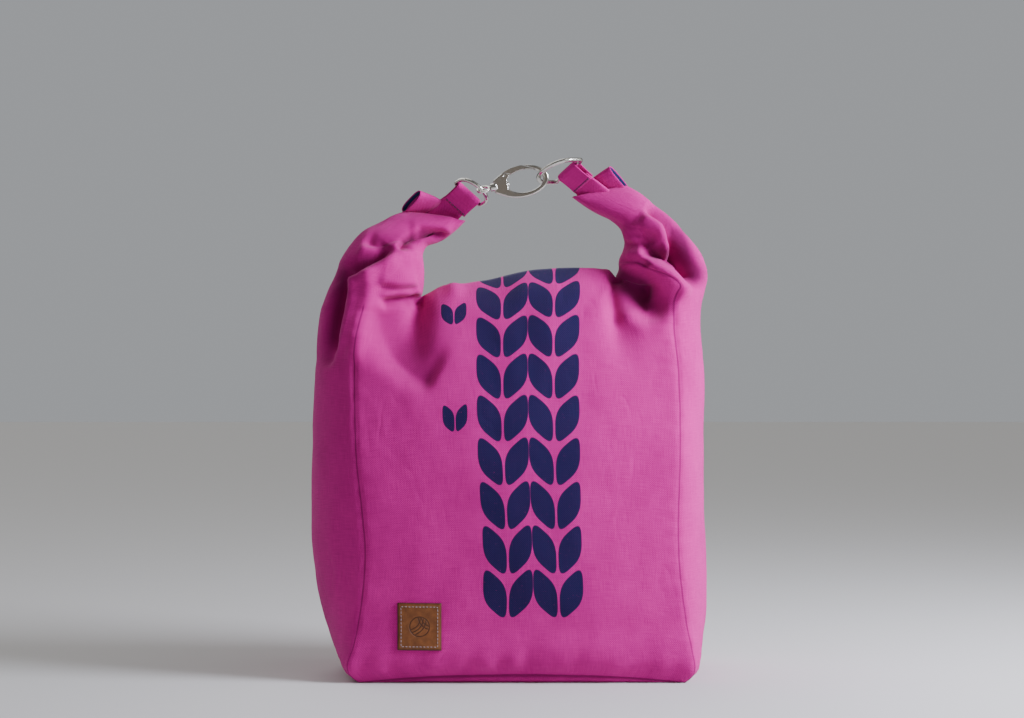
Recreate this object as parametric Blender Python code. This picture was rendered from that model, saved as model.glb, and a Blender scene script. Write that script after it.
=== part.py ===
"""Knitting bag: a boxed canvas bag whose rolled top is drawn up into a handle and clipped shut.

Metres, +Z up, front towards -Y, origin at the middle of the base's underside. The two ends of the
rolled top are the handle's arms. Each ends in a fabric tab round a D-ring, and a swivel snap hook
joins the rings: left ring, swivel eye, hook frame with its sprung gate, right ring.
"""

import math

import bmesh
import bpy
from mathutils import Matrix, Vector

MM = 0.001

# Cloth
CANVAS = 1.2 * MM  # thickness of the outer cloth
LINING = 0.8 * MM
LINING_INSET = 8 * MM  # the inner bag is cut a little smaller than the outer one
GAP = 0.3 * MM  # space left between neighbouring pieces
SQUARENESS = 3.0  # exponent of the bag's rounded-box section: 2 is an ellipse

# Half width to the left and to the right, and half depth, each as (height, value)
HALF_LEFT = [(0, 0.137), (0.03, 0.157), (0.09, 0.168), (0.20, 0.169), (0.262, 0.166), (0.34, 0.150)]
HALF_RIGHT = [(0, 0.148), (0.03, 0.160), (0.09, 0.1635), (0.20, 0.1635), (0.262, 0.1625), (0.34, 0.155)]
HALF_DEPTH = [(0, 0.070), (0.05, 0.080), (0.13, 0.084), (0.20, 0.076), (0.262, 0.055), (0.343, 0.007)]
SEAM_SHARE = 0.81  # the front seams stand at this share of the half width
MAIN_PANEL_MARGIN, SIDE_PANEL_MARGIN = 0.0008, 0.004  # shares of the panels left open at the seams
SHOULDER = 0.262  # top edge of the cloth panels beside the arms
LINING_TOP = 0.254
FRONT_RIDGE = [(-0.078, 0.312), (-0.036, 0.333), (0.015, 0.342), (0.085, 0.342)]  # top edge by x
BACK_RIDGE = [(0, 0.288)]  # lower, to pass under the rolled hem
RIDGE_LEFT, RIDGE_RIGHT = -0.066, 0.080  # where the raised middle ends, clear of the arms
RIDGE_RAMP = 0.018  # width over which the top edge climbs to the ridge

# Rolled hem between the arms, behind the ridge
ROLL_CENTRE = (0.016, 0.316)  # y, z
ROLL_RADII = (0.013, 0.014)
ROLL_BEYOND = 0.002  # how far the roll runs past the ridge at each end
ROLL_END_SHARE, ROLL_END_TAPER = 0.81, 0.032  # of the full radius at its ends, reached over this length

# Handle: it tips forwards and back about this line through both shoulders
HANDLE_AXIS_Z = 0.275
# (x, y, z, half width across the arm, half depth front to back)
LEFT_ARM = [
    (-0.118, 0.000, 0.275, 0.040, 0.032),
    (-0.119, 0.000, 0.300, 0.041, 0.031),
    (-0.117, 0.000, 0.322, 0.039, 0.030),
    (-0.112, 0.001, 0.342, 0.035, 0.028),
    (-0.102, 0.003, 0.359, 0.028, 0.025),
    (-0.088, 0.006, 0.371, 0.020, 0.021),
    (-0.073, 0.009, 0.379, 0.014, 0.016),
    (-0.059, 0.010, 0.386, 0.011, 0.011),
]
RIGHT_ARM = [
    (0.128, 0.000, 0.275, 0.033, 0.032),
    (0.128, 0.000, 0.300, 0.034, 0.031),
    (0.129, 0.000, 0.322, 0.036, 0.030),
    (0.129, 0.000, 0.344, 0.036, 0.028),
    (0.124, 0.001, 0.367, 0.027, 0.024),
    (0.112, 0.002, 0.384, 0.016, 0.018),
    (0.097, 0.003, 0.395, 0.011, 0.013),
    (0.083, 0.004, 0.404, 0.009, 0.010),
    (0.071, 0.004, 0.413, 0.009, 0.010),
]

# The hem's turned-back corners, beside the tabs: (side, mouth, direction inwards, wide direction)
CUFF_HALF = (12.0 * MM, 5.0 * MM)
CUFFS = (
    ("left", Vector((-0.086, -0.006, 0.404)), Vector((0.79, 0.60, -0.12)), Vector((0.6, -0.66, 0.45))),
    ("right", Vector((0.096, -0.006, 0.426)), Vector((-0.90, 0.35, -0.22)), Vector((0.48, 0.64, -0.60))),
)

# Leather label
LABEL_X, LABEL_Z = -0.0755, 0.0475
LABEL_W, LABEL_H, LABEL_THICK = 0.036, 0.038, 1.6 * MM
LABEL_STITCH_INSET, LABEL_THREAD = 3.0 * MM, 0.7 * MM
LABEL_THREAD_GAP = 0.15 * MM  # the label is curved, its stitches run straight between points

# Tabs and D-rings
TAB_WIDTH = 24 * MM
TAB_THICK = 1.5 * MM
TAB_LENGTH = 21 * MM
TAB_STITCH_AT = 15 * MM
TAB_PLAY = 0.45 * MM  # between the strap and the bar it is folded round
TAB_SPLIT = 0.15 * MM  # half the gap left between its legs at the seam
TAB_THREAD_WIDTH, TAB_THREAD_RISE, TAB_THREAD_INSET = 1.2 * MM, 0.45 * MM, 1.5 * MM
RING_CORNER = 2.6 * MM  # bend between a ring's bar and its legs
LEG_MIDDLE = 0.6  # share of a ring's leg at which it has an extra point
# (wire radius, bar centre to the middle of either leg, length of the straight legs)
LEFT_RING = (1.7 * MM, 14.4 * MM, 9.0 * MM)
RIGHT_RING = (1.9 * MM, 18.3 * MM, 12.2 * MM)

# Directions in the clasp: b lies along a ring's bar, d runs from the bar to the ring's round end,
# t runs from the bar down the tab
LEFT_B = Vector((0.72, 0.243, -0.63))
LEFT_D = Vector((0.453, -0.873, 0.181))
LEFT_T = Vector((-0.668, 0.449, -0.592))
RIGHT_B = Vector((-0.562, 0.685, -0.463))
RIGHT_D = Vector((-0.751, -0.656, -0.058))
RIGHT_T = Vector((0.814, 0.36, -0.456))
LEFT_BAR = Vector((-0.038, 0.000, 0.4068))
EYE_ON_RING = math.radians(12)  # where round the left ring's end the eye hangs
HOOK_AXIS = Vector((0.976, 0.06, 0.208)).normalized()

# Swivel eye: an oval loop, its hole given as (along the hook, across it)
EYE_HOLE_U, EYE_HOLE_V = 4.0 * MM, 4.6 * MM
EYE_RIM, EYE_THICK, EYE_PLAY = 1.9 * MM, 2.2 * MM, 1.0 * MM
STEM_RADIUS, STEM_HEAD_RADIUS, STEM_HEAD_THICK = 1.5 * MM, 2.5 * MM, 1.1 * MM
STEM_CLEARANCE = 0.2 * MM

# Hook frame: u runs from the collar to the bow, v across the opening, w through the thickness
FRAME_THICK = 4.6 * MM
COLLAR_LENGTH, COLLAR_RADIUS = 3.0 * MM, 3.6 * MM
OUTER_CENTRE, OUTER_U, OUTER_V = 27.0 * MM, 23.0 * MM, 13.6 * MM
INNER_CENTRE, INNER_U, INNER_V = 29.5 * MM, 16.0 * MM, 9.6 * MM
OUTER_CUT, INNER_CUT = math.radians(128), math.radians(160)  # where the ovals give way to the neck
LEDGE_U = INNER_CENTRE + INNER_U * math.cos(INNER_CUT)  # flat end of the opening, next to the collar
NECK_HALF = 5.4 * MM
LINK_SLACK = 2.2 * MM  # play between the bow and the right ring

# Gate
PIVOT_U, PIVOT_V = 13.2 * MM, 7.4 * MM
GATE_TIP_OUTER, GATE_TIP_INNER, GATE_HEEL = math.radians(84), math.radians(50), math.radians(131)
TIP_NORMAL, TIP_BLUNT = (0.56, 0.83), 0.4 * MM  # square to the tip's slanting face, and its end's height
GATE_OPEN = math.radians(20)
GATE_THICK, ROOT_THICK, SLOT_HEIGHT = 4.0 * MM, 1.2 * MM, 3.3 * MM
ROOT_BOTTOM = 0.25 * MM - SLOT_HEIGHT / 2  # underside of the gate's knuckle, clear of the slot
ROOT_RADIUS = 2.3 * MM
ROOT_JOIN = GATE_HEEL - math.radians(14)  # where along the gate its knuckle's neck joins it
ROOT_WITHIN = 0.45 * MM  # how far inside the gate's edges the neck stays
SLOT_MOUTH = ((8 * MM, -5.5 * MM), (4 * MM, 7 * MM))  # from the pivot: corners of the slot's open end
GATE_CLEARANCE = 0.35 * MM
PIN_RADIUS = 0.8 * MM
PIN_PLAY_FRAME, PIN_PLAY_GATE, PIN_SHORT = 0.05 * MM, 0.12 * MM, 0.1 * MM
SPRING_WIRE, SPRING_RADIUS, SPRING_TURNS = 0.22 * MM, 1.4 * MM, 1.75
SPRING_PLAY, SPRING_GAP = 0.15 * MM, 0.06 * MM  # above the knuckle, and between the turns
FRAME_BEVEL, GATE_BEVEL, EYE_BEVEL = 1.1 * MM, 0.6 * MM, 0.5 * MM
LEDGE_HALF = 1.2 * MM  # half the flat at the bottom of the frame's opening
OVERLAP = 2 * MM  # by which joined and cutting shapes run past one another


# Materials ------------------------------------------------------------------------------------

def material(name, colour, roughness, metallic=0.0):
    made = bpy.data.materials.new(name)
    made.use_nodes = True
    shader = made.node_tree.nodes["Principled BSDF"]
    shader.inputs["Base Color"].default_value = (*colour, 1)
    shader.inputs["Roughness"].default_value = roughness
    shader.inputs["Metallic"].default_value = metallic
    made.diffuse_color = (*colour, 1)
    return made


# Mesh helpers ---------------------------------------------------------------------------------

def add_object(name, mesh, finish, matrix=None, smooth_angle=40):
    """Links a mesh as a named part, its origin and axes where matrix says."""
    bm = bmesh.new()
    bm.from_mesh(mesh)
    bmesh.ops.recalc_face_normals(bm, faces=bm.faces)
    bm.to_mesh(mesh)
    bm.free()
    mesh.shade_smooth()
    mesh.set_sharp_from_angle(angle=math.radians(smooth_angle))
    obj = bpy.data.objects.new(name, mesh)
    obj.data.materials.append(finish)
    bpy.context.scene.collection.objects.link(obj)
    if matrix is not None:
        obj.matrix_world = matrix
    return obj


def mesh_of(name, points, faces):
    mesh = bpy.data.meshes.new(name)
    mesh.from_pydata([tuple(p) for p in points], [], faces)
    return mesh


def tube_mesh(name, rings, closed=False):
    """Skins a list of equal rings of points. An open tube gets an end cap at each end."""
    count = len(rings[0])
    points = [p for ring in rings for p in ring]
    faces = []
    last = len(rings) if closed else len(rings) - 1
    for i in range(last):
        here, there = i * count, (i + 1) % len(rings) * count
        for j in range(count):
            k = (j + 1) % count
            faces.append((here + j, here + k, there + k, there + j))
    if not closed:
        faces.append(tuple(range(count))[::-1])
        faces.append(tuple(range((len(rings) - 1) * count, len(rings) * count)))
    return mesh_of(name, points, faces)


def wire_rings(path, radius, sides=8, closed=False):
    """Round sections along a path, carried along it without twisting."""
    rings = []
    count = len(path)
    normal = None
    for i, point in enumerate(path):
        before = path[i - 1] if closed or i > 0 else path[0]
        after = path[(i + 1) % count] if closed or i < count - 1 else path[-1]
        tangent = (after - before).normalized()
        if normal is None:
            normal = tangent.orthogonal().normalized()
        normal = (normal - tangent * normal.dot(tangent)).normalized()
        side = tangent.cross(normal)
        turn = [2 * math.pi * j / sides for j in range(sides)]
        rings.append([point + (normal * math.cos(a) + side * math.sin(a)) * radius for a in turn])
    return rings


def prism_mesh(name, outline, low, high):
    """A flat outline in the uv plane, extruded along w from low to high."""
    count = len(outline)
    points = [(u, v, low) for u, v in outline] + [(u, v, high) for u, v in outline]
    faces = [(j, (j + 1) % count, (j + 1) % count + count, j + count) for j in range(count)]
    faces += [tuple(range(count))[::-1], tuple(range(count, 2 * count))]
    return mesh_of(name, points, faces)


def arc(centre_u, centre_v, radius_u, radius_v, start, end, steps):
    """Points along an ellipse's arc, both ends included."""
    turn = [start + (end - start) * i / steps for i in range(steps + 1)]
    return [(centre_u + radius_u * math.cos(a), centre_v + radius_v * math.sin(a)) for a in turn]


def cylinder_rings(start, end, radii, sides=16):
    """Round sections from start to end, evenly spaced, one for each radius."""
    axis = (end - start).normalized()
    normal = axis.orthogonal().normalized()
    side = axis.cross(normal)
    rings = []
    for i, radius in enumerate(radii):
        point = start.lerp(end, i / (len(radii) - 1))
        turn = [2 * math.pi * j / sides for j in range(sides)]
        rings.append([point + (normal * math.cos(a) + side * math.sin(a)) * radius for a in turn])
    return rings


def frame_matrix(origin, x_axis, y_axis):
    """A right-handed frame with its origin, x and y axes given, squared up."""
    x = Vector(x_axis).normalized()
    z = x.cross(Vector(y_axis)).normalized()
    y = z.cross(x)
    return Matrix.Translation(origin) @ Matrix((x, y, z)).transposed().to_4x4()


def boolean(obj, cutter, operation="DIFFERENCE"):
    step = obj.modifiers.new(cutter.name, "BOOLEAN")
    step.operation = operation
    step.object = cutter
    cutter.hide_render = True
    cutter.display_type = "WIRE"


def bevel(obj, width, segments=2, angle=40):
    step = obj.modifiers.new("Edges", "BEVEL")
    step.width = width
    step.segments = segments
    step.limit_method = "ANGLE"
    step.angle_limit = math.radians(angle)


# The bag's skin -------------------------------------------------------------------------------

def along(table, at):
    """The table's value at a place, straight between its entries and level beyond them."""
    if at <= table[0][0]:
        return table[0][1]
    for (low, a), (high, b) in zip(table, table[1:]):
        if at <= high:
            return a + (b - a) * (at - low) / (high - low)
    return table[-1][1]


def half_width(x, height):
    return along(HALF_LEFT if x < 0 else HALF_RIGHT, height)


def front_point(x, height, side=-1):
    """The skin at a given x: side -1 is the front, +1 the back."""
    share = min(abs(x) / half_width(x, height), 0.999)
    depth = along(HALF_DEPTH, height) * (1 - share**SQUARENESS) ** (1 / SQUARENESS)
    return Vector((x, side * depth, height))


def side_point(share, height, side):
    """The skin of a side panel: share runs from -1 at the front to 1 at the back."""
    depth = along(HALF_DEPTH, height)
    reach = along(HALF_LEFT if side < 0 else HALF_RIGHT, height)
    corner = (1 - SEAM_SHARE**SQUARENESS) ** (1 / SQUARENESS)
    y = share * corner
    return Vector((side * reach * (1 - abs(y) ** SQUARENESS) ** (1 / SQUARENESS), y * depth, height))


def top_edge(x, ridge):
    """Height of a main panel's top edge: low beside the arms, up to the ridge between them."""
    inside = min(x - (RIDGE_LEFT - RIDGE_RAMP), (RIDGE_RIGHT + RIDGE_RAMP) - x) / RIDGE_RAMP
    share = max(0.0, min(1.0, inside))
    return SHOULDER + (along(ridge, x) - SHOULDER) * share * share * (3 - 2 * share)


def sheet_mesh(name, surface, us, vs, near, far):
    """A closed sheet of cloth over surface(u, v), between two offsets along its outward normal."""
    step = 1e-4
    grids = []
    for offset in (far, near):
        grid = []
        for u in us:
            for v in vs:
                across = surface(u + step, v) - surface(u - step, v)
                up = surface(u, min(v + step, 1)) - surface(u, max(v - step, 0))
                grid.append(surface(u, v) + across.cross(up).normalized() * offset)
        grids.append(grid)
    rows, columns = len(us), len(vs)
    inner = rows * columns
    faces = []
    for i in range(rows - 1):
        for j in range(columns - 1):
            a, b = i * columns + j, (i + 1) * columns + j
            faces.append((a, b, b + 1, a + 1))
            faces.append((inner + a, inner + a + 1, inner + b + 1, inner + b))
    rim = [i * columns for i in range(rows)]
    rim += [(rows - 1) * columns + j for j in range(1, columns)]
    rim += [i * columns + columns - 1 for i in range(rows - 2, -1, -1)]
    rim += list(range(columns - 2, 0, -1))
    for a, b in zip(rim, rim[1:] + rim[:1]):
        faces.append((b, a, inner + a, inner + b))
    return mesh_of(name, grids[0] + grids[1], faces)


def spread(low, high, count):
    return [low + (high - low) * i / (count - 1) for i in range(count)]


def main_panel(name, side, ridge, finish):
    """The front or the back panel. Its columns run left to right as seen from outside."""
    left, right = -along(HALF_LEFT, 0.1) * SEAM_SHARE, along(HALF_RIGHT, 0.1) * SEAM_SHARE
    bottom = CANVAS + GAP

    def surface(u, v):
        share = u if side < 0 else 1 - u
        x_mid = left + (right - left) * share
        height = bottom + (top_edge(x_mid, ridge) - bottom) * v
        reach = half_width(x_mid, height) / half_width(x_mid, 0.1)
        return front_point(x_mid * min(reach, 1.0), height, side)

    us = spread(MAIN_PANEL_MARGIN, 1 - MAIN_PANEL_MARGIN, 15)
    return add_object(name, sheet_mesh(name, surface, us, spread(0, 1, 8), -CANVAS, 0), finish)


def side_panel(name, side, finish):
    def surface(u, v):
        share = (2 * u - 1) * side
        return side_point(share, CANVAS + GAP + (SHOULDER - CANVAS - GAP) * v, side)

    us = spread(SIDE_PANEL_MARGIN, 1 - SIDE_PANEL_MARGIN, 8)
    return add_object(name, sheet_mesh(name, surface, us, spread(0, 1, 9), -CANVAS, 0), finish)


def section_ring(height, inset, z, count=28):
    """A closed ring round the bag's section, inset from the skin, set at height z."""
    ring = []
    for j in range(count):
        a = 2 * math.pi * j / count
        reach = along(HALF_RIGHT if math.cos(a) > 0 else HALF_LEFT, height) - inset
        depth = along(HALF_DEPTH, height) - inset
        x = reach * math.copysign(abs(math.cos(a)) ** (2 / SQUARENESS), math.cos(a))
        y = depth * math.copysign(abs(math.sin(a)) ** (2 / SQUARENESS), math.sin(a))
        ring.append(Vector((x, y, z)))
    return ring


def base_panel(finish):
    """The flat base the bag stands on."""
    rings = [section_ring(0, 0, 0), section_ring(0, 0, CANVAS)]
    return add_object("base_panel", tube_mesh("base_panel", rings), finish)


def lining(finish):
    """The inner bag: an open tub that follows the outer skin."""
    floor = CANVAS + GAP
    heights = spread(floor, LINING_TOP, 6)
    rings = [section_ring(h, LINING_INSET, h) for h in heights]
    inner = [section_ring(h, LINING_INSET + LINING, max(h, floor + LINING)) for h in heights]
    return add_object("lining", tube_mesh("lining", rings + inner[::-1]), finish)


def rolled_hem(finish):
    """The rolled top edge lying behind the ridge, between the arms."""
    start, end = RIDGE_LEFT - ROLL_BEYOND, RIDGE_RIGHT + ROLL_BEYOND
    rings = []
    for x in spread(start, end, 9):
        swell = min(1.0, ROLL_END_SHARE + min(x - start, end - x) / ROLL_END_TAPER)
        deep, tall = ROLL_RADII[0] * swell, ROLL_RADII[1] * swell
        turn = [2 * math.pi * j / 16 for j in range(16)]
        y, z = ROLL_CENTRE
        rings.append([Vector((x, y + deep * math.cos(a), z + tall * math.sin(a))) for a in turn])
    return add_object("rolled_hem", tube_mesh("rolled_hem", rings), finish)


def label_sheet(name, half_w, half_h, near, far, finish):
    def surface(u, v):
        return front_point(LABEL_X + u * half_w, LABEL_Z + (2 * v - 1) * half_h)

    mesh = sheet_mesh(name, surface, spread(-1, 1, 4), spread(0, 1, 4), near, far)
    return add_object(name, mesh, finish)


def label_stitching(finish):
    """One run of thread round the label, raised on its face."""
    half_w, half_h = LABEL_W / 2 - LABEL_STITCH_INSET, LABEL_H / 2 - LABEL_STITCH_INSET
    corners = [(-1, -1), (1, -1), (1, 1), (-1, 1)]
    lift = GAP + LABEL_THICK + LABEL_THREAD / 2 + LABEL_THREAD_GAP
    path = []
    for (a, b), (c, d) in zip(corners, corners[1:] + corners[:1]):
        for i in range(6):
            u, v = a + (c - a) * i / 6, b + (d - b) * i / 6
            path.append(front_point(LABEL_X + u * half_w, LABEL_Z + v * half_h) + Vector((0, -lift, 0)))
    rings = wire_rings(path, LABEL_THREAD / 2, 6, closed=True)
    return add_object("label_stitching", tube_mesh("label_stitching", rings, closed=True), finish)


# The handle's arms ----------------------------------------------------------------------------

def arm(name, stations, finish):
    """A rolled arm. Below its hinge line it ends in a dome that is round about that line."""
    up = Vector((0, 0, 1))
    foot = Vector(stations[0][:3])
    wide, deep = stations[0][3:]
    rings = []
    for angle in (80, 60, 40, 20):
        shrink, drop = math.cos(math.radians(angle)), math.sin(math.radians(angle))
        rings.append(arm_ring(foot - up * deep * drop, up, wide * shrink, deep * shrink))
    for i, (x, y, z, wide, deep) in enumerate(stations):
        before, after = stations[max(i - 1, 0)], stations[min(i + 1, len(stations) - 1)]
        tangent = Vector((after[0] - before[0], 0, after[2] - before[2])).normalized() if i else up
        rings.append(arm_ring(Vector((x, y, z)), tangent, wide, deep))
    return add_object(name, tube_mesh(name, rings), finish)


def arm_ring(centre, tangent, wide, deep, sides=18):
    across = Vector((0, 1, 0)).cross(tangent)
    turn = [2 * math.pi * j / sides for j in range(sides)]
    return [centre + across * wide * math.cos(a) + Vector((0, deep * math.sin(a), 0)) for a in turn]


def cuff(name, mouth, axis, wide_axis, outer, length, wall, finish):
    """A flattened tube of cloth, open at both ends, such as the turned-back corner of the hem."""
    frame = frame_matrix(mouth, axis, wide_axis)
    turn = [2 * math.pi * j / 20 for j in range(20)]
    rings = []
    for inset, at in ((0, 0), (0, length), (wall, length), (wall, 0)):
        wide, thick = outer[0] - inset, outer[1] - inset
        rings.append([Vector((at, wide * math.cos(a), thick * math.sin(a))) for a in turn])
    return add_object(name, tube_mesh(name, rings, closed=True), finish, frame)


# Tabs, rings and the swivel hook --------------------------------------------------------------

def tab(name, bar, bar_axis, down, wire, finish):
    """A strap folded round a ring's bar. Its legs close together towards the seam."""
    inner, outer = wire + TAB_PLAY, wire + TAB_PLAY + TAB_THICK
    end_inner, end_outer = TAB_SPLIT, TAB_SPLIT + TAB_THICK
    outline = [(TAB_LENGTH, end_outer)]
    outline += arc(0, 0, outer, outer, math.pi / 2, 3 * math.pi / 2, 8)
    outline += [(TAB_LENGTH, -end_outer), (TAB_LENGTH, -end_inner)]
    outline += arc(0, 0, inner, inner, 3 * math.pi / 2, math.pi / 2, 8)
    outline += [(TAB_LENGTH, end_inner)]
    half = TAB_WIDTH / 2
    return add_object(name, prism_mesh(name, outline, -half, half), finish, tab_frame(bar, bar_axis, down))


def tab_frame(bar, bar_axis, down):
    """x down the tab, z along the ring's bar, y out of the tab's face."""
    z = Vector(bar_axis).normalized()
    x = (Vector(down) - z * Vector(down).dot(z)).normalized()
    return frame_matrix(bar, x, z.cross(x))


def tab_stitching(name, bar, bar_axis, down, wire, face, finish):
    """The seam sewn across a tab, raised on one face of it: face is 1 or -1."""
    outer, end_outer = wire + TAB_PLAY + TAB_THICK, TAB_SPLIT + TAB_THICK
    surface = outer + (end_outer - outer) * TAB_STITCH_AT / TAB_LENGTH
    low, high = surface + GAP, surface + GAP + TAB_THREAD_RISE
    near, far = TAB_STITCH_AT - TAB_THREAD_WIDTH / 2, TAB_STITCH_AT + TAB_THREAD_WIDTH / 2
    outline = [(u, v * face) for u, v in ((near, low), (far, low), (far, high), (near, high))]
    half = TAB_WIDTH / 2 - TAB_THREAD_INSET
    return add_object(name, prism_mesh(name, outline, -half, half), finish, tab_frame(bar, bar_axis, down))


def d_ring(name, size, finish, matrix):
    wire, half, leg = size
    corner = RING_CORNER
    flat = arc(half - corner, corner, corner, corner, -math.pi / 2, 0, 4)
    flat += [(half, leg * LEG_MIDDLE)]
    flat += arc(0, leg, half, half, 0, math.pi, 16)
    flat += [(-half, leg * LEG_MIDDLE)]
    flat += arc(corner - half, corner, corner, corner, math.pi, 3 * math.pi / 2, 4)
    path = [Vector((x, y, 0)) for x, y in flat]
    rings = wire_rings(path, wire, 8, closed=True)
    return add_object(name, tube_mesh(name, rings, closed=True), finish, matrix)


def ring_end(frame, size, angle):
    """The middle of the wire at an angle round a ring's end, and the wire's direction there."""
    _, half, leg = size
    b, d = frame.col[0].xyz, frame.col[1].xyz
    point = frame.translation + d * leg + (b * math.sin(angle) + d * math.cos(angle)) * half
    return point, b * math.cos(angle) - d * math.sin(angle)


def pull_angle(frame, pull):
    """Where round a ring's end it reaches furthest along pull."""
    return math.atan2(frame.col[0].xyz.dot(pull), frame.col[1].xyz.dot(pull))


def swivel_eye(finish, centre, hole_axis, stem_end):
    """An oval eye with a stem that turns in the hook's collar, headed over inside the frame."""
    frame = frame_matrix(centre, HOOK_AXIS, HOOK_AXIS.cross(hole_axis))
    rim = arc(0, 0, EYE_HOLE_U + EYE_RIM, EYE_HOLE_V + EYE_RIM, 0, 2 * math.pi, 24)[:-1]
    hole = arc(0, 0, EYE_HOLE_U, EYE_HOLE_V, 0, 2 * math.pi, 24)[:-1]
    half = EYE_THICK / 2
    loops = ((rim, -half), (rim, half), (hole, half), (hole, -half))
    rings = [[Vector((u, v, w)) for u, v in loop] for loop, w in loops]
    eye = add_object("swivel_eye", tube_mesh("swivel_eye", rings, closed=True), finish, frame)
    bevel(eye, EYE_BEVEL)
    start = Vector((EYE_HOLE_U + EYE_RIM * 0.45, 0, 0))
    neck, tip = Vector((stem_end, 0, 0)), Vector((stem_end + STEM_HEAD_THICK, 0, 0))
    rings = cylinder_rings(start, neck, [STEM_RADIUS] * 2)
    rings += cylinder_rings(neck, tip, [STEM_HEAD_RADIUS, STEM_HEAD_RADIUS * 0.8])
    boolean(eye, add_object("stem_join", tube_mesh("stem_join", rings), finish, frame), "UNION")
    return eye


def frame_outline():
    """Matching outer and inner loops of the hook frame: ovals that end at the neck and the ledge."""
    outer = arc(OUTER_CENTRE, 0, OUTER_U, OUTER_V, -OUTER_CUT, OUTER_CUT, 34)
    outer += [(COLLAR_LENGTH, NECK_HALF), (COLLAR_LENGTH, -NECK_HALF)]
    inner = arc(INNER_CENTRE, 0, INNER_U, INNER_V, -INNER_CUT, INNER_CUT, 34)
    inner += [(LEDGE_U, LEDGE_HALF), (LEDGE_U, -LEDGE_HALF)]
    return outer, inner


def gate_outline(grow):
    """The gate's arm: a piece of the frame's oval with a long slanting tip under the nose."""
    slack = grow / OUTER_U
    heel, outer_tip = GATE_HEEL + slack, GATE_TIP_OUTER - 2.5 * slack
    outline = arc(OUTER_CENTRE, 0, OUTER_U + grow, OUTER_V + grow, heel, outer_tip, 9)
    tip_u = INNER_CENTRE + INNER_U * math.cos(GATE_TIP_INNER)
    tip_v = INNER_V * math.sin(GATE_TIP_INNER)
    lift = grow + TIP_BLUNT
    outline.append((tip_u + lift * TIP_NORMAL[0], tip_v + lift * TIP_NORMAL[1]))
    inner_tip = GATE_TIP_INNER - 3 * slack
    return outline + arc(
        INNER_CENTRE, 0, INNER_U - grow, INNER_V - grow, inner_tip, heel - math.radians(2), 11
    )


def root_outline(grow):
    """The gate's knuckle: a disc round the pin with a neck out to the arm."""
    radius = ROOT_RADIUS + grow
    c, s = math.cos(ROOT_JOIN), math.sin(ROOT_JOIN)
    outline = arc(PIVOT_U, PIVOT_V, radius, radius, math.radians(120), math.radians(300), 12)
    outline.append((INNER_CENTRE + INNER_U * c, INNER_V * s + ROOT_WITHIN))
    outline.append((OUTER_CENTRE + OUTER_U * c, OUTER_V * s - ROOT_WITHIN))
    return outline


def root_slot_outline():
    """The slot in the frame that the knuckle swings in: round behind the pin, open to the gate."""
    radius = ROOT_RADIUS + GATE_CLEARANCE
    outline = arc(PIVOT_U, PIVOT_V, radius, radius, math.radians(120), math.radians(285), 12)
    return outline + [(PIVOT_U + u, PIVOT_V + v) for u, v in SLOT_MOUTH]


def turned_about_pivot(outline, angle):
    c, s = math.cos(angle), math.sin(angle)
    return [
        (PIVOT_U + (u - PIVOT_U) * c - (v - PIVOT_V) * s, PIVOT_V + (u - PIVOT_U) * s + (v - PIVOT_V) * c)
        for u, v in outline
    ]


def hook_frame(finish, matrix):
    outer, inner = frame_outline()
    half = FRAME_THICK / 2
    loops = ((outer, -half), (outer, half), (inner, half), (inner, -half))
    rings = [[Vector((u, v, w)) for u, v in loop] for loop, w in loops]
    frame = add_object("hook_frame", tube_mesh("hook_frame", rings, closed=True), finish, matrix)
    bevel(frame, FRAME_BEVEL, 2)
    collar_end = Vector((COLLAR_LENGTH + OVERLAP, 0, 0))
    collar_radii = [COLLAR_RADIUS, COLLAR_RADIUS, COLLAR_RADIUS * 0.9]
    collar = cylinder_rings(Vector((0, 0, 0)), collar_end, collar_radii)
    boolean(frame, add_object("collar_join", tube_mesh("collar_join", collar), finish, matrix), "UNION")
    bore_radius = STEM_RADIUS + STEM_CLEARANCE
    bore_end = Vector((LEDGE_U + OVERLAP, 0, 0))
    bore = cylinder_rings(Vector((-OVERLAP, 0, 0)), bore_end, [bore_radius] * 2)
    boolean(frame, add_object("stem_bore", tube_mesh("stem_bore", bore), finish, matrix))
    for name, angle in (("shut", 0), ("open", -GATE_OPEN)):
        way = turned_about_pivot(gate_outline(GATE_CLEARANCE), angle)
        mesh = prism_mesh(f"gate_way_{name}", way, -FRAME_THICK, FRAME_THICK)
        boolean(frame, add_object(f"gate_way_{name}", mesh, finish, matrix))
    slot = prism_mesh("root_slot", root_slot_outline(), -SLOT_HEIGHT / 2, SLOT_HEIGHT / 2)
    boolean(frame, add_object("root_slot", slot, finish, matrix))
    boolean(frame, pin_hole(finish, matrix, PIN_RADIUS + PIN_PLAY_FRAME))
    return frame


def pin_hole(finish, matrix, radius):
    name = f"pin_hole_{radius / MM:.2f}"
    start, end = Vector((PIVOT_U, PIVOT_V, -FRAME_THICK)), Vector((PIVOT_U, PIVOT_V, FRAME_THICK))
    hole = cylinder_rings(start, end, [radius] * 2, 12)
    return add_object(name, tube_mesh(name, hole), finish, matrix)


def about_pivot(mesh):
    """Moves a mesh drawn in the hook's axes so that its origin is on the gate's pin."""
    mesh.transform(Matrix.Translation((-PIVOT_U, -PIVOT_V, 0)))
    return mesh


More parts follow.
